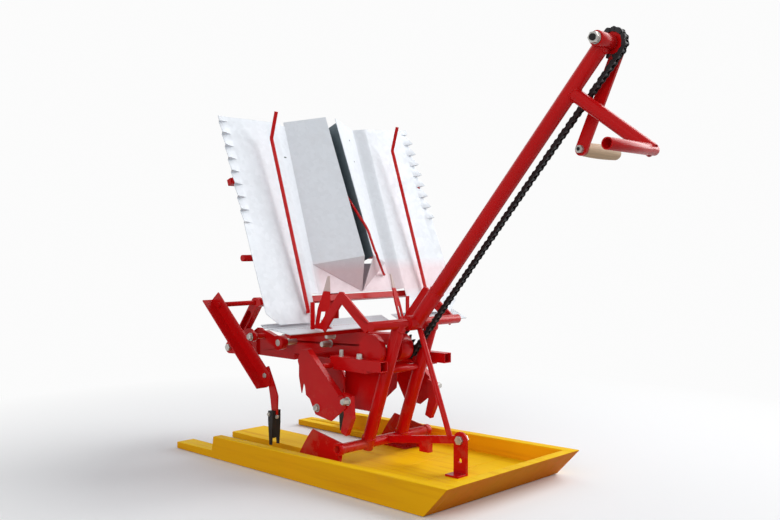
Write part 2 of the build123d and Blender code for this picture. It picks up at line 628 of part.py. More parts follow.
# Planting crank shaft with its two crank arms
pin_x, pin_z = polar(PLANT_X, PLANT_Z, PLANT_CRANK_R, PLANT_CRANK_ANGLE)
plant_shaft = across(PLANT_X, PLANT_Z, -PLANT_CRANK_Y[1], PLANT_CRANK_Y[1], SHAFT_R)
save("planting_shaft", plant_shaft)
crank = link((PLANT_X, PLANT_Z), (pin_x, pin_z), 12, *PLANT_CRANK_Y)
crank += across(PLANT_X, PLANT_Z, PLANT_CRANK_Y[0] - 6, PLANT_CRANK_Y[1], 17)
crank += across(pin_x, pin_z, PLANT_CRANK_Y[1], PLANT_PIN_END, ROD_R)
crank -= plant_shaft
save("planting_cranks", *both(crank))

# Rocker
rocker = link((ROCKER_X, ROCKER_Z), (ROD_X, ROD_Z), ROCKER_R, -ROCKER_HALF_W, ROCKER_HALF_W)
pocket_start = (ROCKER_X + 0.25 * (ROD_X - ROCKER_X), ROCKER_Z + 0.25 * (ROD_Z - ROCKER_Z))
pocket_end = (ROCKER_X + 0.75 * (ROD_X - ROCKER_X), ROCKER_Z + 0.75 * (ROD_Z - ROCKER_Z))
rocker -= link(pocket_start, pocket_end, ROCKER_R - 4, -ROCKER_HALF_W, ROCKER_HALF_W - 4)
for x, z in ((ROCKER_X, ROCKER_Z), (ROD_X, ROD_Z)):
    rocker -= across(x, z, -ROCKER_HALF_W, ROCKER_HALF_W, ROD_R + RUNNING_CLEARANCE)
save("rocker", rocker)

# Planting arms: angle bars on a common rod, with bent shanks and two-tined claws
arm_along = (math.cos(math.radians(ARM_ANGLE)), math.sin(math.radians(ARM_ANGLE)))


def on_arm(s, w):
    """X and Z at a distance s down the arm bar and w above its middle line."""
    return (ROD_X + s * arm_along[0] - w * arm_along[1], ROD_Z + s * arm_along[1] + w * arm_along[0])


arm_rod = across(ROD_X, ROD_Z, -ROW_Y - ARM_T - 6, ROW_Y + ARM_T + 6, ROD_R)
half_web = ARM_WEB / 2
web = plate([on_arm(-ARM_TAIL, -half_web), on_arm(ARM_REACH, -half_web), on_arm(ARM_REACH + 6, half_web - 18),
             on_arm(ARM_REACH - 12, half_web), on_arm(-ARM_TAIL + 6, half_web)], ROW_Y, ROW_Y + ARM_T)
flange_w = (-half_web, ARM_T - half_web)
flange = plate([on_arm(-ARM_TAIL, flange_w[0]), on_arm(ARM_REACH, flange_w[0]), on_arm(ARM_REACH, flange_w[1]),
                on_arm(-ARM_TAIL, flange_w[1])], ROW_Y + ARM_T, ROW_Y + ARM_T + ARM_FLANGE)
boss = across(pin_x, pin_z, PLANT_PIN_END + 5.5, ROW_Y, 12)
arm_bar = web + flange + boss - arm_rod
save("arm_bars", *both(arm_bar))
save("arm_rod", arm_rod)
shank_end = CLAW_TOP_Z - 12
shank = plate([(-292, 196), (-270, 208), (-248, 168), (-236, 142), (CLAW_X + 9, shank_end),
               (CLAW_X - 8, shank_end), (-260, 132), (-266, 160)], ROW_Y - 5, ROW_Y)
save("claw_shanks", *both(shank))
tine_outline = [(CLAW_X - 8, CLAW_TOP_Z), (CLAW_X + 8, CLAW_TOP_Z + 2), (CLAW_X + 8, CLAW_TOP_Z - 26),
                (CLAW_X + 4, CLAW_TIP_Z), (CLAW_X - 4, CLAW_TIP_Z), (CLAW_X - 8, CLAW_TOP_Z - 26)]
tine_inner = plate(tine_outline, ROW_Y + TINE_SPAN[0], ROW_Y + TINE_SPAN[0] + TINE_T)
tine_outer = plate(tine_outline, ROW_Y + TINE_SPAN[1] - TINE_T, ROW_Y + TINE_SPAN[1])
claw_block = block(CLAW_X - 7, CLAW_X + 7, ROW_Y + TINE_SPAN[0] + TINE_T, ROW_Y + TINE_SPAN[1] - TINE_T,
                   CLAW_TIP_Z + 16, CLAW_TOP_Z) - shank
save("claws", *both(tine_inner + tine_outer + claw_block))

# Tray: two mirrored sheets with folded inner slopes and notched rims, lower panel, bars, hangers and rods
near_edge = TRAY_MID_Y - TRAY_HALF


def tray_point(y, s, n):
    """Point on the tray from the across, up and out distances."""
    x, z = on_tray(s, n)
    return (x, y, z)


def fold_points(folds, s):
    """Across and out places of a sheet's three folds at a height up the tray."""
    share = (s - RIDGE_FOOT) / (TRAY_TOP - RIDGE_FOOT)
    return [(near_edge + foot[0] + (top[0] - foot[0]) * share, foot[1] + (top[1] - foot[1]) * share)
            for foot, top in zip(*folds)]


def tray_face(section, s):
    """Face across the tray from a section of across and out distances."""
    return make_face(Polyline(*[tray_point(y, s, n) for y, n in section], close=True))


def tray_strip(section_at, s_from, s_to):
    """Folded strip whose section changes evenly up the tray."""
    return loft([tray_face(section_at(s_from), s_from), tray_face(section_at(s_to), s_to)], ruled=True)


def tray_sheet(outline, n=0):
    """Flat sheet with an outline across and up the tray, as thick as the sheet."""
    face = make_face(Polyline(*[tray_point(y, s, n) for y, s in outline], close=True))
    return extrude(face, amount=SHEET_T, dir=(cos_lean, 0, sin_lean))


def tray_half(folds, outer_top, inner_top):
    """One sheet on the near side: floor with notched rim, dip, slope, and a gusset below the slope."""
    def slope(s):
        _, fold, ridge = fold_points(folds, s)
        return [fold, ridge, (ridge[0], ridge[1] + SHEET_T), (fold[0] - 0.9, fold[1] + SHEET_T)]

    def dip(s):
        floor, fold, _ = fold_points(folds, s)
        return [floor, fold, (fold[0], fold[1] + SHEET_T), (floor[0], floor[1] + SHEET_T)]

    outline = [(fold_points(folds, TRAY_FOOT)[0][0], TRAY_FOOT), (near_edge + 34, TRAY_FOOT),
               (near_edge, TRAY_FOOT + 26)]
    rim_start = outer_top - RIM_TEETH * RIM_PITCH - 12
    for tooth in range(RIM_TEETH):
        foot_s = rim_start + tooth * RIM_PITCH
        outline += [(near_edge, foot_s), (near_edge + RIM_DEPTH, foot_s + RIM_PITCH * 0.55)]
    outline += [(near_edge - 2, outer_top), (fold_points(folds, inner_top)[0][0], inner_top)]
    half = tray_sheet(outline) + tray_strip(slope, RIDGE_FOOT, TRAY_TOP + RIDGE_RISE)
    half += tray_strip(dip, PANEL_FOOT, inner_top)
    _, fold, ridge = fold_points(folds, RIDGE_FOOT)
    seat = FOLD_N + SHEET_T + 0.1
    gusset = make_face(Polyline(tray_point(fold[0], RIDGE_FOOT + 1, seat),
                                tray_point(ridge[0], RIDGE_FOOT + 1, ridge[1]),
                                tray_point(TRAY_MID_Y - 2, GUSSET_FOOT, seat), close=True))
    return half + extrude(gusset, amount=SHEET_T, dir=(cos_lean, 0, sin_lean))


def channel_section(s):
    """Section of the channel under both ridges."""
    ridge_y, ridge_n = fold_points(NEAR_FOLDS, s)[2]
    wall = ridge_y - SHEET_T - 0.3
    lip = ridge_n - 1.3
    far = 2 * TRAY_MID_Y
    inner = wall + SHEET_T
    return [(wall, FOLD_N), (far - wall, FOLD_N), (far - wall, lip), (far - inner, lip),
            (far - inner, FOLD_N + SHEET_T), (inner, FOLD_N + SHEET_T), (inner, lip), (wall, lip)]


tray_plane = Plane(origin=(0, TRAY_MID_Y, 0), x_dir=(1, 0, 0), z_dir=(0, 1, 0))
save("tray_sheet_near", tray_half(NEAR_FOLDS, TRAY_TOP, TRAY_TOP))
save("tray_sheet_far", mirror(tray_half(FAR_FOLDS, *FAR_TOP), about=tray_plane))

panel_near = [(fold_points(NEAR_FOLDS, s)[1][0] + 0.3, s) for s in (PANEL_FOOT, RIDGE_FOOT - 1)]
panel_far = [(2 * TRAY_MID_Y - fold_points(FAR_FOLDS, s)[1][0] - 0.3, s)
             for s in (RIDGE_FOOT - 1, PANEL_FOOT)]
save("tray_lower_panel", tray_sheet(panel_near + panel_far, FOLD_N))
save("tray_spine", tray_strip(channel_section, RIDGE_FOOT, TRAY_TOP - 1))


def tray_bar(s_from, s_to, y_half, n_from, n_to, y_middle=TRAY_MID_Y):
    """Block behind the sheets."""
    section = [(y_middle - y_half, n_from), (y_middle + y_half, n_from), (y_middle + y_half, n_to),
               (y_middle - y_half, n_to)]
    return tray_strip(lambda s: section, s_from, s_to)


# Cross bars behind the sheets, with cleats that reach forward to the floor of each sheet
BAR_DEPTH = 13.5
BAR_HEIGHT = 14
LOWER_BAR_S = 6
UPPER_BAR_S = 282
tray_bars = []
for s_bar in (LOWER_BAR_S, UPPER_BAR_S):
    bar = tray_bar(s_bar, s_bar + BAR_HEIGHT, TRAY_HALF - 8, FOLD_N - BAR_DEPTH, FOLD_N)
    for y in (17, 112):
        for side in (-1, 1):
            bar += tray_bar(s_bar, s_bar + BAR_HEIGHT, 5, FOLD_N, 0, TRAY_MID_Y + side * (TRAY_HALF - y))
    tray_bars.append(bar)
save("tray_bars", *tray_bars)

HANGER_HALF = 166
HANGER_T = 5
hanger_outline = [on_tray(s, n) for s, n in ((98, -0.1), (98, -32), (106, -40), (125, -40), (133, -32),
                                            (133, -0.1))]
hangers = []
for y in (TRAY_MID_Y - HANGER_HALF, TRAY_MID_Y + HANGER_HALF):
    hanger = plate(hanger_outline, y - HANGER_T / 2, y + HANGER_T / 2)
    hangers.append(hanger - across(rail_x, rail_z, y - HANGER_T, y + HANGER_T, RAIL_R + 0.4))
save("tray_hangers", *hangers)

PRESS_R = 4.2
PRESS_HALF = 195
press_route = ((-24, 5.8), (-8, 9), (378, 31), (426, 68))
press_rods = []
for y in (TRAY_MID_Y - PRESS_HALF, TRAY_MID_Y + PRESS_HALF):
    press = None
    for start, end in zip(press_route, press_route[1:]):
        run = rod(tray_point(y, *start), tray_point(y, *end), PRESS_R)
        press = run if press is None else press + run + Pos(*tray_point(y, *start)) * Sphere(PRESS_R)
    press_rods.append(press)
save("press_rods", *press_rods)

STAY_R = 3
stay_route = ((TRAY_MID_Y, 262, -7.4), (TRAY_MID_Y + 4.5, 185, 45), (TRAY_MID_Y + 13.5, 160, 45),
              (TRAY_MID_Y + 15.5, 96, 48), (TRAY_MID_Y + 83.5, 60, -7.4))
stay = None
for start, end in zip(stay_route, stay_route[1:]):
    run = rod(tray_point(*start), tray_point(*end), STAY_R)
    stay = run if stay is None else stay + run + Pos(*tray_point(*start)) * Sphere(STAY_R)
save("tray_stay", stay)
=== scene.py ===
import json
import math
from functools import cached_property

import bmesh
import bpy
import numpy as np
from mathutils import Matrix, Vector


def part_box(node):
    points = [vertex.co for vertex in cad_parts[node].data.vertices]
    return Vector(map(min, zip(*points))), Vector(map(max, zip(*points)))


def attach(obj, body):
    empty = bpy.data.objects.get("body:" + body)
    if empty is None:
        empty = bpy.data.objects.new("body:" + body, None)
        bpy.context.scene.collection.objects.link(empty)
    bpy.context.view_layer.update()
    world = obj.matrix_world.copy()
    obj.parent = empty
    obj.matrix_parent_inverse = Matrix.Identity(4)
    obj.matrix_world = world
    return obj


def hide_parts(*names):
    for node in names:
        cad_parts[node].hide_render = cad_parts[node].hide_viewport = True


bl_info = {
    "name": "Rice Seeder Dressing",
    "version": (1, 0, 0),
    "blender": (4, 5, 0),
    "location": "3D View > Sidebar > Seeder",
    "description": "Sheet metal, chain, fasteners and finishes of a hand-cranked rice seeder",
    "category": "Object",
}

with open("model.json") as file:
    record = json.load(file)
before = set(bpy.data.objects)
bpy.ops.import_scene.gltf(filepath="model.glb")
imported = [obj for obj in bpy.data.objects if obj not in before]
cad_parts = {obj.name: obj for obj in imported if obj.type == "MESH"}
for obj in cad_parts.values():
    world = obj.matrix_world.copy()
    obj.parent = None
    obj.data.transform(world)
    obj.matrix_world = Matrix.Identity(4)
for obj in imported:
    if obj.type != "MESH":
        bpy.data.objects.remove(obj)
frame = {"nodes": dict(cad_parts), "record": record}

MM = 0.001

# Places as (X, Z) in millimetres, in the frame of the solids
LOWER_TUBE = (0, 61)
UPPER_TUBE = (94, 325)
MAIN_SHAFT = (40, 268)
CRANK_AXLE = (546.21, 854.45)
CRANK_PIN = (466.1, 671.2)
HAND_BAR = (637, 655)

# Tubes in millimetres: the uprights, the sleeve at the handle's foot, and places up the handle
UPRIGHT_Y = 52
SLEEVE_ENDS_Y = (-30, 16)
SOCKET_END = 90
BRANCH_PLACE = 588
# How far the handle's tube starts above its foot and ends short of the axle, and the branch passes the bar
FOOT_INSET = 12
TOP_INSET = 8
BRANCH_OVERRUN = 4

# Roller chain in millimetres and degrees
CHAIN_PITCH = 12.7
CHAIN_LINKS = 134
CHAIN_Y = 28
CHAIN_ANGLE = 49.2
TEETH = 12
UPPER_SAG = 9
LOWER_SAG = -3
# Plates of the chain as (side, inner Y, outer Y, radius of the ends, half waist, first joint)
CHAIN_PLATES = (
    (1, 3.95, 5.25, 4.66, 3.1, 0),
    (-1, 3.95, 5.25, 4.66, 3.1, 0),
    (1, 5.35, 6.6, 4.86, 3.4, 1),
    (-1, 5.35, 6.6, 4.86, 3.4, 1),
)
# Rollers and pins as (radius, half length)
CHAIN_ROUNDS = ((3.9, 3.85), (2.0, 7.2))

# Tray in millimetres and degrees, measured across, up and out of its leaning sheet
TRAY_LEAN = 21.34
TRAY_BASE = (-99, 364)
TRAY_MID_Y = 46.5
TRAY_EDGE = -262
TRAY_TOP = 437
TRAY_FOOT = -44
DIP_FOOT = 22
GUSSET_FOOT = 24
GUSSET_SEAT = 1.5
GUSSET_GAP = 2
RIDGE_FOOT = 92
RIDGE_TOP = 447
RIM_WIDTH = 34
RIM_COLUMNS = 14
ROW_PITCH = 5.2
CORNER_CUT = 26
CORNER_TOP = 40
CORNER_HEIGHT = 84
TOP_FALL = 160
DENT_END = 149
DENT_FADE = 70
TAB_PITCH = 30
TAB_COUNT = 8
TAB_DEPTH = 27
TAB_MARGIN = 12
TAB_TWIST = 13
TAB_SHIFT = 7
TAB_RAISE = 2
HALF_SLIT = 0.15
SEAM = 0.3
# Halves of the tray as (name, folds at the foot, folds at the top, tops at the edge and at the dip,
# mirrored), where a fold is (distance from the outer edge, height out of the sheet)
TRAY_HALVES = (
    ("near", ((145, 0), (178, -12), (294, 39)), ((166, 0), (200, -12), (293, 36)), (437, 437), False),
    ("far", ((174, 0), (207, -12), (294, 39)), ((159, 0), (192, -12), (293, 36)), (458, 448), True),
)
# Bends of a press rod as (up, out), and of the stay as (across from the tray's middle, up, out)
ROD_SPREAD = 195
ROD_RADIUS = 4.2
STAY_RADIUS = 3
PRESS_ROD = ((-24, 5.8), (-19, 6.8), (-8, 9), (120, 16.3), (260, 24.3), (366, 30.3), (378, 31.4), (386, 37),
             (406, 52.3), (426, 68))
STAY = ((0, 262, -7.4), (0, 255, 14), (0, 245, 22.5), (0, 225, 30), (0.5, 205, 37), (0.5, 185, 44.5),
        (6.5, 170, 46), (12.5, 150, 46.5), (13.5, 130, 47), (15.5, 102, 47.4), (22, 94, 43.5), (31.5, 85, 35),
        (50, 75, 20), (73.5, 65, 0), (83.5, 60, -7.4))

# Marks in the finishes, in metres: punched holes of the tray, painted dark as the shade seen through them,
# as (Y, Z, half width, half height), the grid of small holes in the gate plate and where it ends, and the
# height above which the gate leaves are bare.
# A small hole's edge lies between two squares of its radius, in square millimetres
TRAY_HOLES = ((-0.092, 0.690, 0.006, 0.0016), (0.120, 0.746, 0.003, 0.002), (0.114, 0.692, 0.0025, 0.0018))
PIERCED_PITCH = 0.0075
PIERCED_END_X = -0.075
PIERCED_SQUARES = (2.4, 3.0)
BARE_TIP_Z = 0.392
# Marks in millimetres: radius of the sprocket's enamel, and painted shade over the ends of spindles as (X, Z,
# radius)
SPROCKET_ENAMEL = 20
SPINDLE_ENDS = ((*CRANK_AXLE, 6.5), (*CRANK_PIN, 4))

# The view of the stage, with its lens in millimetres and its place in metres and degrees, and its white
LENS = 42.23
SENSOR = 36
CAMERA_PLACE = (1.4033, -1.4405, 0.5)
CAMERA_DIP = 1.234
CAMERA_TURN = 43.911
WHITE = (0.97, 0.97, 0.97, 1)
AIM = (0, 0, 0.35)
# Lamps as (name, place, size, power), in metres and watts
LAMPS = (
    ("key", (1.6, 3.6, 2.9), 4.2, 218),
    ("fill", (1.4, -3.6, 1.6), 3.0, 62),
    ("back", (-2.6, 1.0, 2.8), 3.0, 15),
)


def circle(count):
    """Angles round a circle, without the last that would repeat the first."""
    return np.arange(count) * (2 * math.pi / count)


def unit(vectors):
    """Each vector divided by its length."""
    return vectors / np.linalg.norm(vectors, axis=-1, keepdims=True)


def fade(value, end, length):
    """1 up to a length before the end, 0 from the end on, straight between them."""
    return np.clip((end - value) / length, 0, 1)


def grid_faces(rows, columns, closed_rows=False):
    """Quads of a grid of points numbered row by row. The last column joins the first, and with closed rows
    the last row joins the first too."""
    index = np.arange(rows * columns).reshape(rows, columns)
    if closed_rows:
        index = np.vstack([index, index[:1]])
    index = np.hstack([index, index[:, :1]])
    quads = np.stack([index[:-1, :-1], index[:-1, 1:], index[1:, 1:], index[1:, :-1]], axis=-1)
    return quads.reshape(-1, 4).tolist()


class Shell:
    """Points and faces gathered for one object."""

    def __init__(self):
        self.points = []
        self.faces = []
        self.count = 0

    def add(self, points, faces):
        """Points in millimetres and faces that number them from zero."""
        points = np.asarray(points, dtype=float).reshape(-1, 3)
        self.points.append(points)
        self.faces += [[corner + self.count for corner in face] for face in faces]
        self.count += len(points)

    def ring_stack(self, rings):
        """Closed rings one after another, with a flat cap on each end."""
        rows, columns = rings.shape[:2]
        faces = grid_faces(rows, columns)
        faces.append(list(range(columns))[::-1])
        faces.append(list(range((rows - 1) * columns, rows * columns)))
        self.add(rings, faces)

    def sheet(self, front, back):
        """A sheet from two grids of points: each row is a ring along the front and back again behind, and a
        strip of quads closes the first row and the last."""
        rows, columns = front.shape[:2]
        width = 2 * columns
        faces = grid_faces(rows, width)
        for start in (0, (rows - 1) * width):
            faces += [[start + c, start + c + 1, start + width - 2 - c, start + width - 1 - c]
                      for c in range(columns - 1)]
        self.add(np.concatenate([front, back[:, ::-1]], axis=1), faces)

    def build(self, name, body, material, slot, smooth=30, replaces=()):
        """The object, riding on its body, at the origin."""
        mesh = bpy.data.meshes.new(name)
        mesh.from_pydata((np.vstack(self.points) * MM).tolist(), [], self.faces)
        mesh.validate()
        turn_outward(mesh)
        mesh.polygons.foreach_set("use_smooth", np.ones(len(mesh.polygons), dtype=bool))
        mesh.set_sharp_from_angle(angle=math.radians(smooth))
        piece = bpy.data.objects.new(name, mesh)
        bpy.context.scene.collection.objects.link(piece)
        mesh.materials.append(material)
        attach(piece, body)
        if replaces:
            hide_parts(*replaces)


def turn_outward(mesh):
    """Makes the faces of each closed shell point outwards."""
    work = bmesh.new()
    work.from_mesh(mesh)
    bmesh.ops.recalc_face_normals(work, faces=work.faces)
    work.to_mesh(mesh)
    work.free()


def axes_of(direction):
    """Two unit vectors square to a direction, by cross products with Y, or with X where it runs along Y."""
    direction = unit(np.asarray(direction, dtype=float))
    helper = np.array([0, 1.0, 0]) if abs(direction[1]) < 0.9 else np.array([1.0, 0, 0])
    side = unit(np.cross(direction, helper))
    return side, np.cross(direction, side)


def turned(profile, start, direction, sides):
    """Lathe shape: rows of (distance along the axis, radius) carried round a full circle."""
    profile = np.asarray(profile, dtype=float)
    direction = unit(np.asarray(direction, dtype=float))
    side, up = axes_of(direction)
    spin = circle(sides)
    spoke = np.cos(spin)[:, None] * side + np.sin(spin)[:, None] * up
    return (np.asarray(start, dtype=float) + profile[:, 0, None, None] * direction
            + profile[:, 1, None, None] * spoke[None])


def swept(path, radius):
    """Round rod: at each point of the path a circle square to it, which starts from the part of Y that is
    square to the path."""
    path = np.asarray(path, dtype=float)
    run = unit(np.gradient(path, axis=0))
    normal = np.array([0, 1.0, 0])
    first = unit(normal - (run @ normal)[:, None] * run)
    second = np.cross(run, first)
    spin = circle(12)
    ring = np.cos(spin)[None, :, None] * first[:, None] + np.sin(spin)[None, :, None] * second[:, None]
    return path[:, None] + radius * ring


def smooth_path(corners):
    """Catmull-Rom curve through the corners: each span is the cubic whose slope at a corner is half the way
    from the corner before to the one after."""
    steps = 6
    corners = np.asarray(corners, dtype=float)
    padded = np.vstack([2 * corners[0] - corners[1], corners, 2 * corners[-1] - corners[-2]])
    t = (np.arange(steps) / steps)[None, :, None]
    p0, p1, p2, p3 = (padded[shift:len(padded) - 3 + shift, None] for shift in range(4))
    curve = 0.5 * (2 * p1 + (p2 - p0) * t + (2 * p0 - 5 * p1 + 4 * p2 - p3) * t ** 2
                   + (3 * p1 - p0 - 3 * p2 + p3) * t ** 3)
    return np.vstack([curve.reshape(-1, 3), corners[-1:]])


class Value:
    """A shader socket in arithmetic: each operator adds its Math node."""

    def __init__(self, finish, socket):
        self.finish = finish
        self.socket = socket

    def maths(self, operation, other):
        """Math node of that operation on this value and another."""
        return self.finish.node("Math", {"operation": operation}, {0: self, 1: other})

    def __add__(self, other):
        return self.maths("ADD", other)

    def __sub__(self, other):
        return self.maths("SUBTRACT", other)

    def __rsub__(self, other):
        return self.finish.node("Math", {"operation": "SUBTRACT"}, {0: other, 1: self})

    def __mul__(self, other):
        return self.maths("MULTIPLY", other)

    __radd__ = __add__
    __rmul__ = __mul__

    def above(self, low, high):
        """0 up to low, 1 from high, straight between them."""
        return self.finish.node("MapRange", {}, {"Value": self, "From Min": low, "From Max": high})


class Finish:
    """Node tree of a material or of the world."""

    def __init__(self, owner):
        owner.use_nodes = True
        self.owner = owner
        self.tree = owner.node_tree
        self.tree.nodes.clear()

    @cached_property
    def place(self):
        """Object coordinates."""
        return self.node("TexCoord", output="Object")

    def node(self, kind, settings=None, inputs=None, output=0):
        """A node of that type, its settings first and then its sockets."""
        node = self.tree.nodes.new("ShaderNode" + kind)
        for name, value in (settings or {}).items():
            setattr(node, name, value)
        for name, value in (inputs or {}).items():
            if isinstance(value, Value):
                self.tree.links.new(value.socket, node.inputs[name])
            else:
                node.inputs[name].default_value = value
        return Value(self, node.outputs[output]) if len(node.outputs) else None

    def stretched(self, scale):
        """Object coordinates scaled along each axis."""
        return self.node("Mapping", {}, {"Vector": self.place, "Scale": scale})

    def noise(self, scale, detail, roughness=0.55, place=None):
        """Noise with that many cells a metre, or in each unit of a stretched place."""
        return self.node("TexNoise", {}, {"Vector": place or self.place, "Scale": scale, "Detail": detail,
                                          "Roughness": roughness})

    def mix(self, share, first, second):
        """Colour between two colours, through the colour sockets 6 and 7 and output 2 of a Mix node."""
        colours = [value if isinstance(value, Value) else (*value, 1) for value in (first, second)]
        return self.node("Mix", {"data_type": "RGBA"}, {0: share, 6: colours[0], 7: colours[1]}, output=2)

    def axis(self, name, vector=None):
        """One coordinate of the place, or of another vector."""
        return self.node("SeparateXYZ", {}, {"Vector": vector or self.place}, output="XYZ".index(name))

    def radial(self, x, z):
        """Square of the distance in millimetres from a line along Y."""
        first = self.axis("X") * 1000 - x
        second = self.axis("Z") * 1000 - z
        return first * first + second * second

    def seen(self):
        """1 for rays from the camera, also by way of gloss or glass, and 0 for the rays that light the
        object."""
        camera, glossy, through = (self.node("LightPath", output=f"Is {kind} Ray")
                                   for kind in ("Camera", "Glossy", "Transmission"))
        return camera.maths("MAXIMUM", glossy.maths("MAXIMUM", through))

    def surface(self, bump, strength, distance, **inputs):
        """Closes the tree with one shader over a bump and returns the material."""
        inputs["Normal"] = self.node("Bump", {}, {"Height": bump, "Strength": strength, "Distance": distance})
        named = {name.replace("_", " "): (*value, 1) if isinstance(value, tuple) else value
                 for name, value in inputs.items()}
        shader = self.node("BsdfPrincipled", {}, named)
        self.node("OutputMaterial", {}, {"Surface": shader})
        return self.owner


def shade(colour, share):
    """The colour with each channel times the share."""
    return tuple(channel * share for channel in colour)


def red_enamel(name, colour, tip=None, rim=None):
    """Gloss enamel on steel: cloudy tone, orange peel, small chips to a dark primer, and a film of mud that
    thins out with the height. A tip height leaves bare metal above it, and a rim (X, Z, radius) leaves oily
    steel beyond that radius."""
    finish = Finish(bpy.data.materials.new(name))
    cloud = finish.noise(6, 4).above(0.35, 0.7)
    peel = finish.noise(260, 2)
    chips = finish.noise(95, 6, 0.65).above(0.7, 0.72)
    low = 1 - finish.axis("Z").above(0.03, 0.2)
    film = finish.noise(26, 5, 0.6).above(0.5, 0.75) * (low * 0.3 + 0.02)
    paint = finish.mix(cloud * 0.6, colour, shade(colour, 0.74))
    paint = finish.mix(film, paint, (0.46, 0.26, 0.14))
    paint = finish.mix(chips, paint, (0.10, 0.04, 0.035))
    rough = 0.24 + film + chips * 0.3
    if tip:
        bare = (finish.axis("Z") + finish.noise(60, 4) * 0.008).above(tip, tip + 0.003)
        paint = finish.mix(bare, paint, (0.62, 0.50, 0.47))
        rough = rough + bare * 0.15
    if rim:
        x, z, radius = rim
        oily = finish.radial(x, z).above(radius ** 2, (radius + 0.6) ** 2)
        paint = finish.mix(oily, paint, (0.03, 0.028, 0.028))
        rough = rough + oily * 0.2
    return finish.surface(peel * 0.08 - chips, 0.16, 0.0006, Base_Color=paint, Roughness=rough, Metallic=0.0,
                          Specular_IOR_Level=0.16)


def painted_wood(name, top, side, under):
    """Painted boards: brighter on top as painted light, orange on the sides as painted shade and brown on
    the overhung bow as painted shade. Long grain shows as darker lines and in the relief, ring lines show in
    the relief alone, and boards sawn square to X have dark ends. Cloudy tone and rubbed patches lie over all."""
    finish = Finish(bpy.data.materials.new(name))
    grain = finish.noise(1, 6, 0.6, finish.stretched((3, 55, 55)))
    rings = finish.noise(1, 3, 0.5, finish.stretched((9, 210, 210)))
    ends = finish.noise(1, 4, 0.6, finish.stretched((40, 60, 420)))
    cloud = finish.noise(5, 4).above(0.35, 0.7)
    rub = (finish.noise(22, 6, 0.7) * 0.6 + grain * 0.4).above(0.58, 0.66)
    facing = finish.node("NewGeometry", output="Normal")
    up = finish.axis("Z", facing)
    ahead = finish.axis("X", facing)
    # Painted light and shade: upward faces take the lit top colour, the rest take the shaded side colour.
    paint = finish.mix(up.above(0.2, 0.8), side, top)
    # Painted shade on the overhung bow, on faces that point forward and not up.
    overhung = ahead.above(0.5, 0.7) * (1 - up.above(-0.3, 0.1))
    paint = finish.mix(overhung * 0.8, paint, under)
    sawn = 1 - ahead.above(-0.95, -0.8)
    paint = finish.mix(sawn * ends.above(0.4, 0.6) * 0.6, paint, shade(side, 0.45))
    paint = finish.mix(cloud * 0.25, paint, shade(top, 0.75))
    paint = finish.mix(rub * 0.22, paint, (0.62, 0.34, 0.06))
    paint = finish.mix(grain.above(0.5, 0.72) * 0.5, paint, (side[0] * 0.75, side[1] * 0.6, side[2]))
    return finish.surface(grain + rings * 0.4, 0.35, 0.0008, Base_Color=paint, Roughness=0.45 + grain * 0.25,
                          Specular_IOR_Level=0.08)


def zinc_sheet(name, colour, tray=False, pierced=False):
    """Galvanised sheet: flat crystals of slightly different tone, dull stains, rolling streaks and shallow
    dents. A tray's sheet has its punched holes as dark ellipses of painted shade, and along its foot a pale
    red, a painted reflection of the red frame. A pierced sheet is clear within round holes on a square grid,
    up to where the grid ends."""
    finish = Finish(bpy.data.materials.new(name))
    crystal = finish.node("TexVoronoi", {"feature": "F1"}, {"Vector": finish.place, "Scale": 110},
                          output="Color")
    tone = finish.axis("X", crystal)
    stain = finish.noise(13, 5, 0.6).above(0.55, 0.78)
    streak = finish.noise(1, 5, 0.6, finish.stretched((26, 40, 3))).above(0.5, 0.75)
    dents = finish.noise(14, 2)
    pale = finish.mix(tone * 0.35, colour, shade(colour, 0.86))
    pale = finish.mix(stain * 0.12, pale, (0.60, 0.54, 0.50))
    pale = finish.mix(streak * 0.2, pale, shade(colour, 0.88))
    if tray:
        # Painted reflection: a pale red band low on the tray stands in for the red frame reflected in the
        # zinc.
        lower = 1 - (finish.axis("Z") + finish.noise(30, 3) * 0.004).above(0.432, 0.460)
        painted_reflection = lower * finish.axis("Z").above(0.36, 0.385) * finish.axis("Y").above(-0.10, -0.07)
        pale = finish.mix(painted_reflection * 0.38, pale, (0.84, 0.46, 0.47))
        # Painted shade: each punched hole is a dark ellipse for the shade seen through it.
        for y, z, half_wide, half_high in TRAY_HOLES:
            across = (finish.axis("Y") - y) * (1 / half_wide)
            along = (finish.axis("Z") - z) * (1 / half_high)
            hole = 1 - (across * across + along * along).above(0.8, 1.1)
            pale = finish.mix(hole, pale, (0.05, 0.055, 0.06))
    inputs = {}
    if pierced:
        along = finish.axis("X")
        first = finish.axis("Y").maths("PINGPONG", PIERCED_PITCH / 2)
        second = along.maths("PINGPONG", PIERCED_PITCH / 2)
        square = (first * first + second * second) * 1e6
        plain = along.above(PIERCED_END_X, PIERCED_END_X + 0.0001)
        inputs["Alpha"] = square.above(*PIERCED_SQUARES).maths("MAXIMUM", plain)
    return finish.surface(dents + tone * 0.03, 0.4, 0.0012, Base_Color=pale, Metallic=0.1,
                          Roughness=0.46 + tone * 0.1 + stain * 0.2, Specular_IOR_Level=0.25, **inputs)


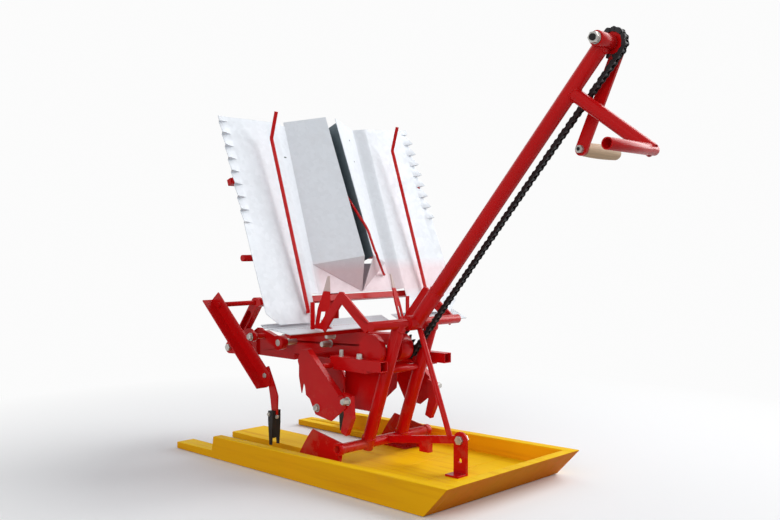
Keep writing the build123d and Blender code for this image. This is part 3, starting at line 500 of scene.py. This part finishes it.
def bare_steel(name, colour, roughness=0.35, grime=0.5, shaded_bores=()):
    """Bare or plated steel: fine scratches, oily dirt in patches and a few rust spots. Each of the shaded
    bores (X, Z, radius) is painted shade, a dark disc over the end of a spindle in its nut."""
    finish = Finish(bpy.data.materials.new(name))
    dirt = finish.noise(45, 5, 0.6).above(0.48, 0.7) * grime
    rust = finish.noise(140, 6, 0.7).above(0.68, 0.74)
    scratch = finish.noise(1, 3, 0.6, finish.stretched((300, 2500, 300)))
    metal = finish.mix(dirt, colour, shade(colour, 0.3))
    metal = finish.mix(rust * 0.6, metal, (0.17, 0.06, 0.025))
    for x, z, radius in shaded_bores:
        # Painted shade: a dark disc over each spindle end in its nut.
        inner = 1 - finish.radial(x, z).above((radius - 0.5) ** 2, radius ** 2)
        metal = finish.mix(inner, metal, (0.02, 0.018, 0.018))
    return finish.surface(scratch, 0.12, 0.0003, Base_Color=metal, Metallic=0.85,
                          Roughness=roughness + dirt * 0.3 + scratch * 0.12)


def turned_wood(name, colour):
    """Bare turned wood: lighter and darker grain lines along the grip, and short dark pores."""
    finish = Finish(bpy.data.materials.new(name))
    grain = finish.noise(1, 5, 0.6, finish.stretched((260, 14, 260)))
    pores = finish.noise(1, 3, 0.7, finish.stretched((900, 60, 900)))
    paint = finish.mix(grain.above(0.35, 0.7), shade(colour, 0.8), colour)
    paint = finish.mix(pores.above(0.6, 0.75) * 0.3, paint, shade(colour, 0.5))
    return finish.surface(grain + pores * 0.5, 0.3, 0.0004, Base_Color=paint, Roughness=0.5 + grain * 0.15,
                          Specular_IOR_Level=0.25)


def tray_point(across, up, out):
    """Point in millimetres from distances across, up and out of the tray's sheet, turned by its lean."""
    lean = math.radians(TRAY_LEAN)
    across, up, out = np.broadcast_arrays(across, up, out)
    return np.stack([TRAY_BASE[0] - up * math.sin(lean) + out * math.cos(lean), across,
                     TRAY_BASE[1] + up * math.cos(lean) + out * math.sin(lean)], axis=-1)


def tray_section(fold):
    """Columns of a section as (distance from the edge, height out of the sheet), straight between the
    folds: a rim whose columns crowd towards the edge, and a floor, a dip and a slope as spans 0, 1 and 2.
    The dip and the slope start beside the last column of the span before, a seam away. The last value is
    each column's span."""
    rim = RIM_WIDTH * np.linspace(0, 1, RIM_COLUMNS) ** 1.3
    spans = (np.linspace(0, 1, 22)[1:], np.linspace(1, 2, 5), np.linspace(2, 3, 9))
    share = np.concatenate(spans)
    counts = [len(span) for span in spans]
    seam = np.zeros(len(share))
    seam[np.cumsum(counts)[:2]] = SEAM
    fold = np.array([(RIM_WIDTH, 0), *fold], dtype=float)
    place, height = (np.interp(share, np.arange(4), fold[:, column]) for column in (0, 1))
    return (np.concatenate([rim, place + seam]), np.concatenate([np.zeros(RIM_COLUMNS), height]),
            np.repeat((0, 1, 2), (RIM_COLUMNS + counts[0], *counts[1:])))


def tray_sheet(foot_fold, top_fold, tops, mirrored, thickness):
    """Half tray on a grid of columns across and rows up. Each span of the section runs evenly from its own
    foot to its own top. The cut corner lifts the foot of the rim by the product of two fades, and the top
    edge falls evenly inwards. The folds drift evenly from their places at the foot to those at the top. The
    rim is slit every tab pitch, and each tab is twisted: its lower corner comes forward, its upper one goes
    back and inwards, all fading with the distance from the edge. Two crossed sine waves dent the floor."""
    foot_across, foot_out, span = tray_section(foot_fold)
    top_across, top_out, _ = tray_section(top_fold)
    outer_top, inner_top = tops
    low = np.array([TRAY_FOOT, DIP_FOOT, RIDGE_FOOT], dtype=float)[span]
    high = np.array([inner_top, inner_top, RIDGE_TOP], dtype=float)[span]
    rim_start = outer_top - TAB_COUNT * TAB_PITCH - TAB_MARGIN
    slits = rim_start + np.arange(TAB_COUNT + 1) * TAB_PITCH
    rows = np.concatenate([np.arange(TRAY_FOOT, outer_top - 3, ROW_PITCH), [outer_top],
                           slits - HALF_SLIT, slits + HALF_SLIT])
    rows = np.sort(rows)[:, None]
    level = (rows - TRAY_FOOT) / (outer_top - TRAY_FOOT)
    up = low + level * (high - low)
    up = up + CORNER_CUT * fade(foot_across, RIM_WIDTH, RIM_WIDTH) * fade(rows, CORNER_TOP, CORNER_HEIGHT)
    up = up + (outer_top - inner_top) * level * fade(foot_across, TOP_FALL, TOP_FALL)
    drift = (up - RIDGE_FOOT) / (TRAY_TOP - RIDGE_FOOT)
    across = foot_across + (top_across - foot_across) * drift
    out = foot_out + (top_out - foot_out) * drift
    phase = np.clip((rows - rim_start) / TAB_PITCH, 0, TAB_COUNT) % 1
    tabbed = (rows > rim_start) & (rows < slits[-1])
    near = fade(across, TAB_DEPTH, TAB_DEPTH)
    out = out + np.where(tabbed, (0.5 - phase) * TAB_TWIST, 0) * near + near * TAB_RAISE
    waves = 0.5 * np.sin(across / 17.5 + up / 160) + 0.7 * np.sin(up / 61 + across / 41)
    out = out + fade(across, DENT_END, DENT_FADE) * (1 - near) * waves
    points_y = TRAY_EDGE + across + np.where(tabbed, phase * TAB_SHIFT, TAB_SHIFT / 2) * near
    if mirrored:
        points_y = 2 * TRAY_MID_Y - points_y
    shell = Shell()
    shell.sheet(tray_point(points_y, up, out + thickness), tray_point(points_y, up, out))
    gusset(shell, foot_fold, mirrored, thickness)
    return shell


def gusset(shell, fold, mirrored, thickness):
    """Flat triangle between the dip's fold, the lower end of the ridge and the middle of the panel, moved
    out by the sheet's thickness for its other side."""
    (dip, dip_out), (ridge, ridge_out) = fold[1:]
    seat = dip_out + GUSSET_SEAT
    corners = np.array([(TRAY_EDGE + dip, RIDGE_FOOT, seat), (TRAY_EDGE + ridge, RIDGE_FOOT, ridge_out),
                        (TRAY_MID_Y - GUSSET_GAP, GUSSET_FOOT, seat)])
    if mirrored:
        corners[:, 0] = 2 * TRAY_MID_Y - corners[:, 0]
    across, up, out = corners.T
    shell.ring_stack(np.stack([tray_point(across, up, out + lift) for lift in (0, thickness)]))


def chain_joints():
    """Centres of the rollers round the loop, and the direction of each link: half circles of the pitch
    radius round both shafts, joined by straight runs that are bowed by their sag times 4 t (1 - t)."""
    radius = CHAIN_PITCH / (2 * math.sin(math.pi / TEETH))
    wrap = TEETH // 2
    straight = (CHAIN_LINKS - TEETH) // 2
    slope = math.radians(CHAIN_ANGLE)
    run = np.array([math.cos(slope), math.sin(slope)])
    square = np.array([-run[1], run[0]])
    low, high = np.array(MAIN_SHAFT, dtype=float), np.array(CRANK_AXLE)
    turn = math.pi / 2 - np.arange(wrap) * (2 * math.pi / TEETH)
    over = high + radius * np.stack([np.cos(slope + turn), np.sin(slope + turn)], axis=1)
    under = low - radius * np.stack([np.cos(slope + turn), np.sin(slope + turn)], axis=1)
    along = np.arange(straight)[:, None] * CHAIN_PITCH * run
    share = np.arange(straight) / straight
    bow = (4 * share * (1 - share))[:, None] * square
    up = low + radius * square + along - UPPER_SAG * bow
    down = high - radius * square - along - LOWER_SAG * bow
    joints = np.vstack([up, over, down, under])
    return joints, unit(np.roll(joints, -1, axis=0) - joints)


def repeated(template, origins, runs):
    """Copies of a template of (along, Y, across) points, one at each origin and turned along each run."""
    template = np.asarray(template, dtype=float)
    flat = origins[:, None] + template[None, :, 0, None] * runs[:, None]
    normal = np.stack([-runs[:, 1], runs[:, 0]], axis=1)
    flat = flat + template[None, :, 2, None] * normal[:, None]
    depth = np.broadcast_to(template[None, :, 1], flat.shape[:2])
    return np.stack([flat[..., 0], depth, flat[..., 1]], axis=-1)


def waisted(radius, waist):
    """Outline of a chain plate: an arc round each joint, with a point of the narrower waist between them on
    each side."""
    spin = np.linspace(-math.pi * 0.62, math.pi * 0.62, 7)
    right = np.stack([CHAIN_PITCH + radius * np.cos(spin), radius * np.sin(spin)], axis=1)
    left = np.stack([-radius * np.cos(spin), -radius * np.sin(spin)], axis=1)
    half = CHAIN_PITCH / 2
    return np.vstack([right, [[half, waist]], left, [[half, -waist]]])


def slab(outline, low, high):
    """Prism between two values of Y on an outline of (along, across) points, as a template."""
    outline = np.asarray(outline, dtype=float)
    rings = [np.stack([outline[:, 0], np.full(len(outline), y), outline[:, 1]], axis=1) for y in (low, high)]
    count = len(outline)
    faces = grid_faces(2, count)
    faces += [list(range(count))[::-1], list(range(count, 2 * count))]
    return np.vstack(rings), faces


def hexagon_head(shell, centre, direction, flats, height):
    """Head on a round washer: hexagons whose corners lie at the width across flats over the square root of
    3, the last one smaller for the chamfer."""
    side, up = axes_of(direction)
    direction = unit(np.asarray(direction, dtype=float))
    centre = np.asarray(centre, dtype=float)
    washer = 1.2
    corner = flats / math.sqrt(3)
    shell.ring_stack(turned([(0, corner * 1.18), (washer, corner * 1.18)], centre, direction, 24))
    spin = circle(6)
    spoke = np.cos(spin)[:, None] * side + np.sin(spin)[:, None] * up
    rows = [(washer, 1.0), (washer + height * 0.82, 1.0), (washer + height, 0.84)]
    rings = [centre + along * direction + corner * share * spoke for along, share in rows]
    shell.ring_stack(np.array(rings))


def weld_bead(shell, centre, direction, radius, host, bead):
    """Bead round a tube of that radius where it meets a host tube: a small circle carried round the tube on
    the saddle sqrt(host^2 - (radius sin t)^2), swelling and shrinking along its way. A host of 0 is a flat
    seam."""
    centre = np.asarray(centre, dtype=float)
    direction = unit(np.asarray(direction, dtype=float))
    side, up = axes_of(direction)
    ripples = 26
    spin = circle(ripples * 4)
    lift = np.sqrt(np.maximum(host ** 2 - (radius * np.sin(spin)) ** 2, 0))[:, None] * direction
    path = centre + lift + radius * (np.cos(spin)[:, None] * side + np.sin(spin)[:, None] * up)
    size = bead * (1 + 0.22 * np.sin(spin * ripples))
    outward = unit(path - centre - lift)[:, None]
    ring = circle(8)
    tube = path[:, None] + size[:, None, None] * (np.cos(ring)[None, :, None] * outward
                                                  + np.sin(ring)[None, :, None] * direction)
    shell.add(tube, grid_faces(len(spin), len(ring), closed_rows=True))


class SeederColours(bpy.types.PropertyGroup):
    """Colours of the paint, the wood and the metals"""
    red: bpy.props.FloatVectorProperty(
        name="Red enamel", description="Paint of the frame", subtype="COLOR", size=3,
        default=(0.60, 0.004, 0.005), min=0, max=1)
    # The three board colours carry painted light and shade: lit tops, shaded sides and a shaded bow
    # underside.
    wood_lit_top: bpy.props.FloatVectorProperty(
        name="Board tops", description="Paint on top of the float", subtype="COLOR", size=3,
        default=(1.0, 0.62, 0.002), min=0, max=1)
    wood_shaded_side: bpy.props.FloatVectorProperty(
        name="Board sides", description="Paint on the float's sides", subtype="COLOR", size=3,
        default=(0.95, 0.44, 0.005), min=0, max=1)
    wood_shaded_under: bpy.props.FloatVectorProperty(
        name="Bow underside", description="Paint on the overhung bow", subtype="COLOR", size=3,
        default=(0.88, 0.17, 0.002), min=0, max=1)
    sheet: bpy.props.FloatVectorProperty(
        name="Sheet metal", description="Zinc of the tray and gate", subtype="COLOR", size=3,
        default=(0.78, 0.82, 0.865), min=0, max=1)
    steel: bpy.props.FloatVectorProperty(
        name="Bare steel", description="Bolts, axles and shafts", subtype="COLOR", size=3,
        default=(0.50, 0.49, 0.46), min=0, max=1)
    # The spine's dark colour is painted shade: a dark strip stands in for the shade between the tray's
    # ridges.
    spine_shade: bpy.props.FloatVectorProperty(
        name="Spine", description="Dull strip between the tray's halves", subtype="COLOR", size=3,
        default=(0.19, 0.235, 0.26), min=0, max=1)
    black: bpy.props.FloatVectorProperty(
        name="Oiled steel", description="Chain, sprockets and claws", subtype="COLOR", size=3,
        default=(0.035, 0.034, 0.036), min=0, max=1)
    grip: bpy.props.FloatVectorProperty(
        name="Grip wood", description="Turned grip of the crank", subtype="COLOR", size=3,
        default=(0.66, 0.46, 0.29), min=0, max=1)


class SeederSizes(bpy.types.PropertyGroup):
    """Sizes of edges, sheets, tubes and beads"""
    edge: bpy.props.FloatProperty(
        name="Metal edge", description="Rounding of metal edges", default=0.0007, min=0, unit="LENGTH")
    board_edge: bpy.props.FloatProperty(
        name="Board edge", description="Rounding of board edges", default=0.0022, min=0, unit="LENGTH")
    sheet: bpy.props.FloatProperty(
        name="Sheet", description="Thickness of the tray's sheet", default=0.0015, min=0, unit="LENGTH")
    handle: bpy.props.FloatProperty(
        name="Handle", description="Radius of the handle's tube", default=0.0152, min=0, unit="LENGTH")
    branch: bpy.props.FloatProperty(
        name="Branch", description="Radius of the handle's branch", default=0.0130, min=0, unit="LENGTH")
    bead: bpy.props.FloatProperty(
        name="Weld bead", description="Radius of the weld beads", default=0.0021, min=0, unit="LENGTH")


def finish_named(name):
    """A finish of this object, made once."""
    known = bpy.data.materials.get(name)
    if known:
        return known
    colours = bpy.context.scene.seeder_colours
    red, zinc, steel = tuple(colours.red), tuple(colours.sheet), tuple(colours.steel)
    makers = {
        "red enamel": lambda: red_enamel(name, red),
        "bare tipped enamel": lambda: red_enamel(name, red, tip=BARE_TIP_Z),
        "oily rimmed enamel": lambda: red_enamel(name, red, rim=(*CRANK_AXLE, SPROCKET_ENAMEL)),
        "painted boards": lambda: painted_wood(name, tuple(colours.wood_lit_top), tuple(colours.wood_shaded_side),
                                               tuple(colours.wood_shaded_under)),
        "zinc sheet": lambda: zinc_sheet(name, zinc),
        "tray zinc": lambda: zinc_sheet(name, zinc, tray=True),
        "pierced zinc": lambda: zinc_sheet(name, zinc, pierced=True),
        "plated steel": lambda: bare_steel(name, steel),
        "dark ended steel": lambda: bare_steel(name, steel, shaded_bores=SPINDLE_ENDS),
        # Painted shade: the spine strip is dark to stand in for the shade between the ridges.
        "slate strip": lambda: bare_steel(name, tuple(colours.spine_shade), 0.6, 0.3),
        "oiled steel": lambda: bare_steel(name, tuple(colours.black), 0.4, 0.3),
        "grip wood": lambda: turned_wood(name, tuple(colours.grip)),
    }
    return makers[name]()


# The finish of each material slot, the nodes that have another, and the nodes whose edges stay sharp
SLOT_FINISH = {
    "wood_yellow": "painted boards",
    "red_paint": "red enamel",
    "black_steel": "oiled steel",
    "bare_steel": "plated steel",
    "galvanised": "zinc sheet",
    "pale_wood": "grip wood",
}
NODE_FINISH = {
    "gate_plate": "pierced zinc",
    "tray_spine": "slate strip",
    "tray_lower_panel": "tray zinc",
    "gate_leaves": "bare tipped enamel",
    "crank_sprocket": "oily rimmed enamel",
    "crank_axle": "dark ended steel",
    "crank_grip_pin": "dark ended steel",
}
SHARP_NODES = ("crank_arm", "roller_chain", "gate_plate", "tray_sheet_near", "tray_sheet_far", "crank_grip",
               "press_rods", "tray_stay")


class SEEDER_OT_finishes(bpy.types.Operator):
    """Give each solid its finish and round its edges"""
    bl_idname = "seeder.finishes"
    bl_label = "Finishes and rounded edges"

    def execute(self, context):
        sizes = context.scene.seeder_sizes
        for entry in frame["record"]["subparts"]:
            name = entry["node"]
            node = frame["nodes"][name]
            finish = finish_named(NODE_FINISH.get(name, SLOT_FINISH[entry["material_slot"]]))
            node.data.materials.clear()
            node.data.materials.append(finish)
            if name in SHARP_NODES:
                continue
            merged = node.modifiers.new("merged", "WELD")
            merged.merge_threshold = 0.00001
            bevel = node.modifiers.new("rounded", "BEVEL")
            bevel.width = sizes.board_edge if name.startswith("float") else sizes.edge
            bevel.segments = 2
            bevel.limit_method = "ANGLE"
            bevel.angle_limit = math.radians(38)
            bevel.use_clamp_overlap = True
            bevel.harden_normals = True
        return {"FINISHED"}


class SEEDER_OT_tray_sheets(bpy.types.Operator):
    """Build the two folded sheets of the tray"""
    bl_idname = "seeder.tray_sheets"
    bl_label = "Tray sheets"

    def execute(self, context):
        thickness = context.scene.seeder_sizes.sheet / MM
        for name, *shape in TRAY_HALVES:
            shell = tray_sheet(*shape, thickness)
            shell.build(f"tray_folded_{name}", "tray", finish_named("tray zinc"), smooth=24,
                        replaces=(f"tray_sheet_{name}",), slot="galvanised")
        return {"FINISHED"}


class SEEDER_OT_chain(bpy.types.Operator):
    """Build the links, rollers and pins of the chain"""
    bl_idname = "seeder.chain"
    bl_label = "Roller chain"

    def execute(self, context):
        joints, runs = chain_joints()
        shell = Shell()
        for side, inner, outer, radius, waist, first in CHAIN_PLATES:
            low, high = sorted((CHAIN_Y + side * inner, CHAIN_Y + side * outer))
            template, faces = slab(waisted(radius, waist), low, high)
            for copy in repeated(template, joints[first::2], runs[first::2]):
                shell.add(copy, faces)
        spin = circle(10)
        for radius, half in CHAIN_ROUNDS:
            outline = np.stack([radius * np.cos(spin), radius * np.sin(spin)], axis=1)
            template, faces = slab(outline, CHAIN_Y - half, CHAIN_Y + half)
            for copy in repeated(template, joints, runs):
                shell.add(copy, faces)
        shell.build("chain_links", "frame", finish_named("oiled steel"), replaces=("roller_chain",),
                    slot="black_steel")
        return {"FINISHED"}


class SEEDER_OT_rods(bpy.types.Operator):
    """Build the bent rods of the tray"""
    bl_idname = "seeder.rods"
    bl_label = "Tray rods"

    def execute(self, context):
        shell = Shell()
        for across in (TRAY_MID_Y - ROD_SPREAD, TRAY_MID_Y + ROD_SPREAD):
            corners = [tray_point(across, up, out) for up, out in PRESS_ROD]
            shell.ring_stack(swept(smooth_path(corners), ROD_RADIUS))
        shell.build("bent_press_rods", "tray", finish_named("red enamel"), replaces=("press_rods",),
                    slot="red_paint")
        shell = Shell()
        corners = [tray_point(TRAY_MID_Y + across, up, out) for across, up, out in STAY]
        shell.ring_stack(swept(smooth_path(corners), STAY_RADIUS))
        shell.build("bent_tray_stay", "tray", finish_named("red enamel"), replaces=("tray_stay",),
                    slot="red_paint")
        return {"FINISHED"}


class SEEDER_OT_handle(bpy.types.Operator):
    """Build the handle tube and its branch with the open end"""
    bl_idname = "seeder.handle"
    bl_label = "Handle"

    def execute(self, context):
        sizes = context.scene.seeder_sizes
        radius = sizes.handle / MM
        foot, top = (np.array([x, 0, z], dtype=float) for x, z in (UPPER_TUBE, CRANK_AXLE))
        run = unit(top - foot)
        length = np.linalg.norm(top - foot)
        # The tube starts inside the sleeve and ends inside the bearing
        shell = Shell()
        shell.ring_stack(turned([(FOOT_INSET, radius), (length - TOP_INSET, radius)], foot, run, 48))
        shell.build("handle_pipe", "frame", finish_named("red enamel"), replaces=("handle_tube",),
                    slot="red_paint")
        radius = sizes.branch / MM
        joint = foot + run * BRANCH_PLACE
        bar = np.array([HAND_BAR[0], 0, HAND_BAR[1]], dtype=float)
        length = np.linalg.norm(bar - joint) + BRANCH_OVERRUN
        # The open end has a rounded lip, a wall and a short bore
        profile = [(6, radius), (length - 0.8, radius), (length, radius - 0.8), (length, radius - 1.8),
                   (length - 4, radius - 2.2)]
        shell = Shell()
        shell.ring_stack(turned(profile, joint, bar - joint, 40))
        shell.build("branch_pipe", "frame", finish_named("red enamel"), replaces=("handle_branch",),
                    slot="red_paint")
        return {"FINISHED"}


class SEEDER_OT_grip(bpy.types.Operator):
    """Turn the wooden grip of the hand crank"""
    bl_idname = "seeder.grip"
    bl_label = "Crank grip"

    def execute(self, context):
        low, high = (np.array(corner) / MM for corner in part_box("crank_grip"))
        centre = (low + high) / 2
        length = high[1] - low[1]
        # The radius swells by a power of a sine, less a narrow groove near the crank
        t = np.linspace(0, 1, 40)
        radius = 12.6 + 1.7 * np.sin(math.pi * t) ** 0.8 - 0.5 * np.exp(-((t - 0.1) / 0.02) ** 2)
        profile = np.stack([t * length, radius], axis=1)
        first = [(0, 5.2), (0, 11.0), (0.6, 12.2)]
        last = [(length - 0.6, 11.8), (length, 10.6), (length, 5.2)]
        profile = np.vstack([first, profile[1:-1], last])
        shell = Shell()
        shell.ring_stack(turned(profile, (centre[0], low[1], centre[2]), (0, 1, 0), 40))
        shell.build("turned_grip", "hand_crank", finish_named("grip wood"), replaces=("crank_grip",),
                    slot="pale_wood")
        return {"FINISHED"}


# Bolts as (body, x, y, z, direction, width across flats, height), and those that have a mirrored twin
BOLTS = (
    ("frame", -157, -18, 262, (0, -1, 0), 13, 26),
    ("frame", -157, 18, 262, (0, 1, 0), 13, 14),
    ("frame", -84, -74, 289, (0, -1, 0), 10, 22),
    ("frame", -399, 0, 262, (0, 0, 1), 11, 6),
    ("frame", -345, 0, 262, (0, 0, 1), 11, 6),
    ("rocker", -452, 9, 342, (0, 1, 0), 13, 4),
)
TWIN_BOLTS = (
    ("frame", -64, -141.5, 141, (0, -1, 0), 13, 6),
    ("frame", -31, -101, 251, (0, 0, 1), 8, 13),
    ("frame", 25, -101, 251, (0, 0, 1), 11, 9),
    ("frame", 28, -138.5, 166, (0, -1, 0), 13, 15),
    ("frame", -60, -85.5, 228, (0, -1, 0), 10, 5),
    ("frame", -170, -85.5, 214, (0, -1, 0), 10, 5),
    ("planting_arms", -251, -123, 100, (0, -1, 0), 7, 3),
    ("planting_arms", -239, -111, 94, (1, 0, 0), 7, 3),
    ("planting_arms", -276, -112, 186, (0, -1, 0), 11, 5),
    ("planting_arms", -330, -115, 272, (0, -1, 0), 14, 6),
)


class SEEDER_OT_bolts(bpy.types.Operator):
    """Add the bolt heads"""
    bl_idname = "seeder.bolts"
    bl_label = "Bolts"

    def execute(self, context):
        twins = [(body, x, -y, z, (dx, -dy, dz), flats, height)
                 for body, x, y, z, (dx, dy, dz), flats, height in TWIN_BOLTS]
        rows = [*BOLTS, *TWIN_BOLTS, *twins]
        for body in sorted({row[0] for row in rows}):
            shell = Shell()
            for owner, x, y, z, direction, flats, height in rows:
                if owner == body:
                    hexagon_head(shell, (x, y, z), direction, flats, height)
            shell.build(f"bolts_{body}", body, finish_named("plated steel"), slot="bare_steel")
        return {"FINISHED"}


class SEEDER_OT_welds(bpy.types.Operator):
    """Run weld beads round the joints of the tubes"""
    bl_idname = "seeder.welds"
    bl_label = "Weld beads"

    def execute(self, context):
        sizes = context.scene.seeder_sizes
        bead, pipe, branch = sizes.bead / MM, sizes.handle / MM, sizes.branch / MM
        lower, upper, crank, bar = (np.array([x, 0, z], dtype=float)
                                    for x, z in (LOWER_TUBE, UPPER_TUBE, CRANK_AXLE, HAND_BAR))
        lean = unit(upper - lower)
        handle = unit(crank - upper)
        joint = upper + handle * BRANCH_PLACE
        # Centre, direction, radius of the tube, radius of its host and share of the bead's size
        seams = [
            (crank, -handle, pipe, 16, 1),
            (upper + handle * SOCKET_END, handle, pipe + 0.1, 0, 0.6),
            (joint, bar - joint, branch, 15, 1),
        ]
        for y in (-UPRIGHT_Y, UPRIGHT_Y):
            aside = np.array([0, y, 0])
            seams += [(lower + aside, lean, 14, 14.5, 1), (upper + aside, -lean, 14, 14.5, 1)]
        for y in SLEEVE_ENDS_Y:
            aside = np.array([0, y, 0])
            seams.append((upper + aside, (0, 1, 0), 10.3, 0, 0.8))
        shell = Shell()
        for centre, direction, radius, host, share in seams:
            weld_bead(shell, centre, direction, radius, host, bead * share)
        shell.build("weld_beads", "frame", finish_named("red enamel"), slot="red_paint", smooth=80)
        return {"FINISHED"}


def floor_finish(name, colour, dim):
    """Pale floor that keeps the shadow near the object and fades to plain white far from it. Other surfaces
    get the dimmer colour's light from it."""
    finish = Finish(bpy.data.materials.new(name))
    distance = finish.node("VectorMath", {"operation": "LENGTH"}, {0: finish.place}, output="Value")
    lit = finish.node("BsdfDiffuse", {}, {"Color": (*colour, 1)})
    bounce = finish.node("BsdfDiffuse", {}, {"Color": (*dim, 1)})
    white = finish.node("Emission", {}, {"Color": WHITE})
    near = finish.node("MixShader", {}, {0: distance.above(0.6, 1.5), 1: lit, 2: white})
    both = finish.node("MixShader", {}, {0: finish.seen(), 1: bounce, 2: near})
    finish.node("OutputMaterial", {}, {"Surface": both})
    return finish.owner


def studio(name):
    """World that shows plain white and lights the object with a dimmer, cooler sky."""
    finish = Finish(bpy.data.worlds.new(name))
    shown = finish.node("Background", {}, {"Color": WHITE, "Strength": 1.0})
    lit = finish.node("Background", {}, {"Color": (0.92, 0.95, 1.0, 1), "Strength": 0.34})
    both = finish.node("MixShader", {}, {0: finish.seen(), 1: lit, 2: shown})
    finish.node("OutputWorld", {}, {"Surface": both})
    return finish.owner


class SEEDER_OT_stage(bpy.types.Operator):
    """Set the floor, the lights and the camera"""
    bl_idname = "seeder.stage"
    bl_label = "Stage"

    def execute(self, context):
        scene = context.scene
        mesh = bpy.data.meshes.new("floor")
        corners = [(-12, -12, -0.001), (12, -12, -0.001), (12, 12, -0.001), (-12, 12, -0.001)]
        mesh.from_pydata(corners, [], [(0, 1, 2, 3)])
        floor = bpy.data.objects.new("floor", mesh)
        scene.collection.objects.link(floor)
        mesh.materials.append(floor_finish("pale floor", (0.94, 0.94, 0.94), (0.40, 0.40, 0.40)))
        for name, place, size, power in LAMPS:
            lamp = bpy.data.lights.new(name, "AREA")
            lamp.energy = power
            lamp.size = size
            holder = bpy.data.objects.new(name, lamp)
            holder.location = place
            aim = np.array(AIM) - np.array(place)
            holder.rotation_euler = (math.atan2(math.hypot(aim[0], aim[1]), -aim[2]), 0,
                                     math.atan2(aim[1], aim[0]) - math.pi / 2)
            scene.collection.objects.link(holder)
        scene.world = studio("studio")
        lens = bpy.data.cameras.new("photo view")
        lens.lens = LENS
        lens.sensor_width = SENSOR
        camera = bpy.data.objects.new("photo view", lens)
        camera.location = CAMERA_PLACE
        camera.rotation_euler = (math.radians(90 - CAMERA_DIP), 0, math.radians(CAMERA_TURN))
        scene.collection.objects.link(camera)
        scene.camera = camera
        scene.view_settings.view_transform = "Standard"
        return {"FINISHED"}


class SEEDER_PT_panel(bpy.types.Panel):
    """Sidebar panel with the seeder's sizes, colours and builders"""
    bl_idname = "SEEDER_PT_panel"
    bl_label = "Rice Seeder"
    bl_space_type = "VIEW_3D"
    bl_region_type = "UI"
    bl_category = "Seeder"

    def draw(self, context):
        for group in (context.scene.seeder_sizes, context.scene.seeder_colours):
            for name in group.bl_rna.properties.keys():
                if name not in ("rna_type", "name"):
                    self.layout.prop(group, name)
        for builder in BUILDERS:
            self.layout.operator(builder.bl_idname)


BUILDERS = (SEEDER_OT_finishes, SEEDER_OT_tray_sheets, SEEDER_OT_chain, SEEDER_OT_rods, SEEDER_OT_handle,
            SEEDER_OT_grip, SEEDER_OT_bolts, SEEDER_OT_welds, SEEDER_OT_stage)
CLASSES = (SeederColours, SeederSizes) + BUILDERS + (SEEDER_PT_panel,)


def register():
    """Add the classes and the settings on the scene."""
    for each in CLASSES:
        bpy.utils.register_class(each)
    bpy.types.Scene.seeder_colours = bpy.props.PointerProperty(type=SeederColours)
    bpy.types.Scene.seeder_sizes = bpy.props.PointerProperty(type=SeederSizes)


def unregister():
    """Take them away again."""
    del bpy.types.Scene.seeder_sizes
    del bpy.types.Scene.seeder_colours
    for each in reversed(CLASSES):
        bpy.utils.unregister_class(each)


def main():
    """Build every piece."""
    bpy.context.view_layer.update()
    register()
    bpy.ops.seeder.finishes()
    bpy.ops.seeder.tray_sheets()
    bpy.ops.seeder.chain()
    bpy.ops.seeder.rods()
    bpy.ops.seeder.handle()
    bpy.ops.seeder.grip()
    bpy.ops.seeder.bolts()
    bpy.ops.seeder.welds()
    bpy.ops.seeder.stage()


if __name__ == "__main__":
    main()
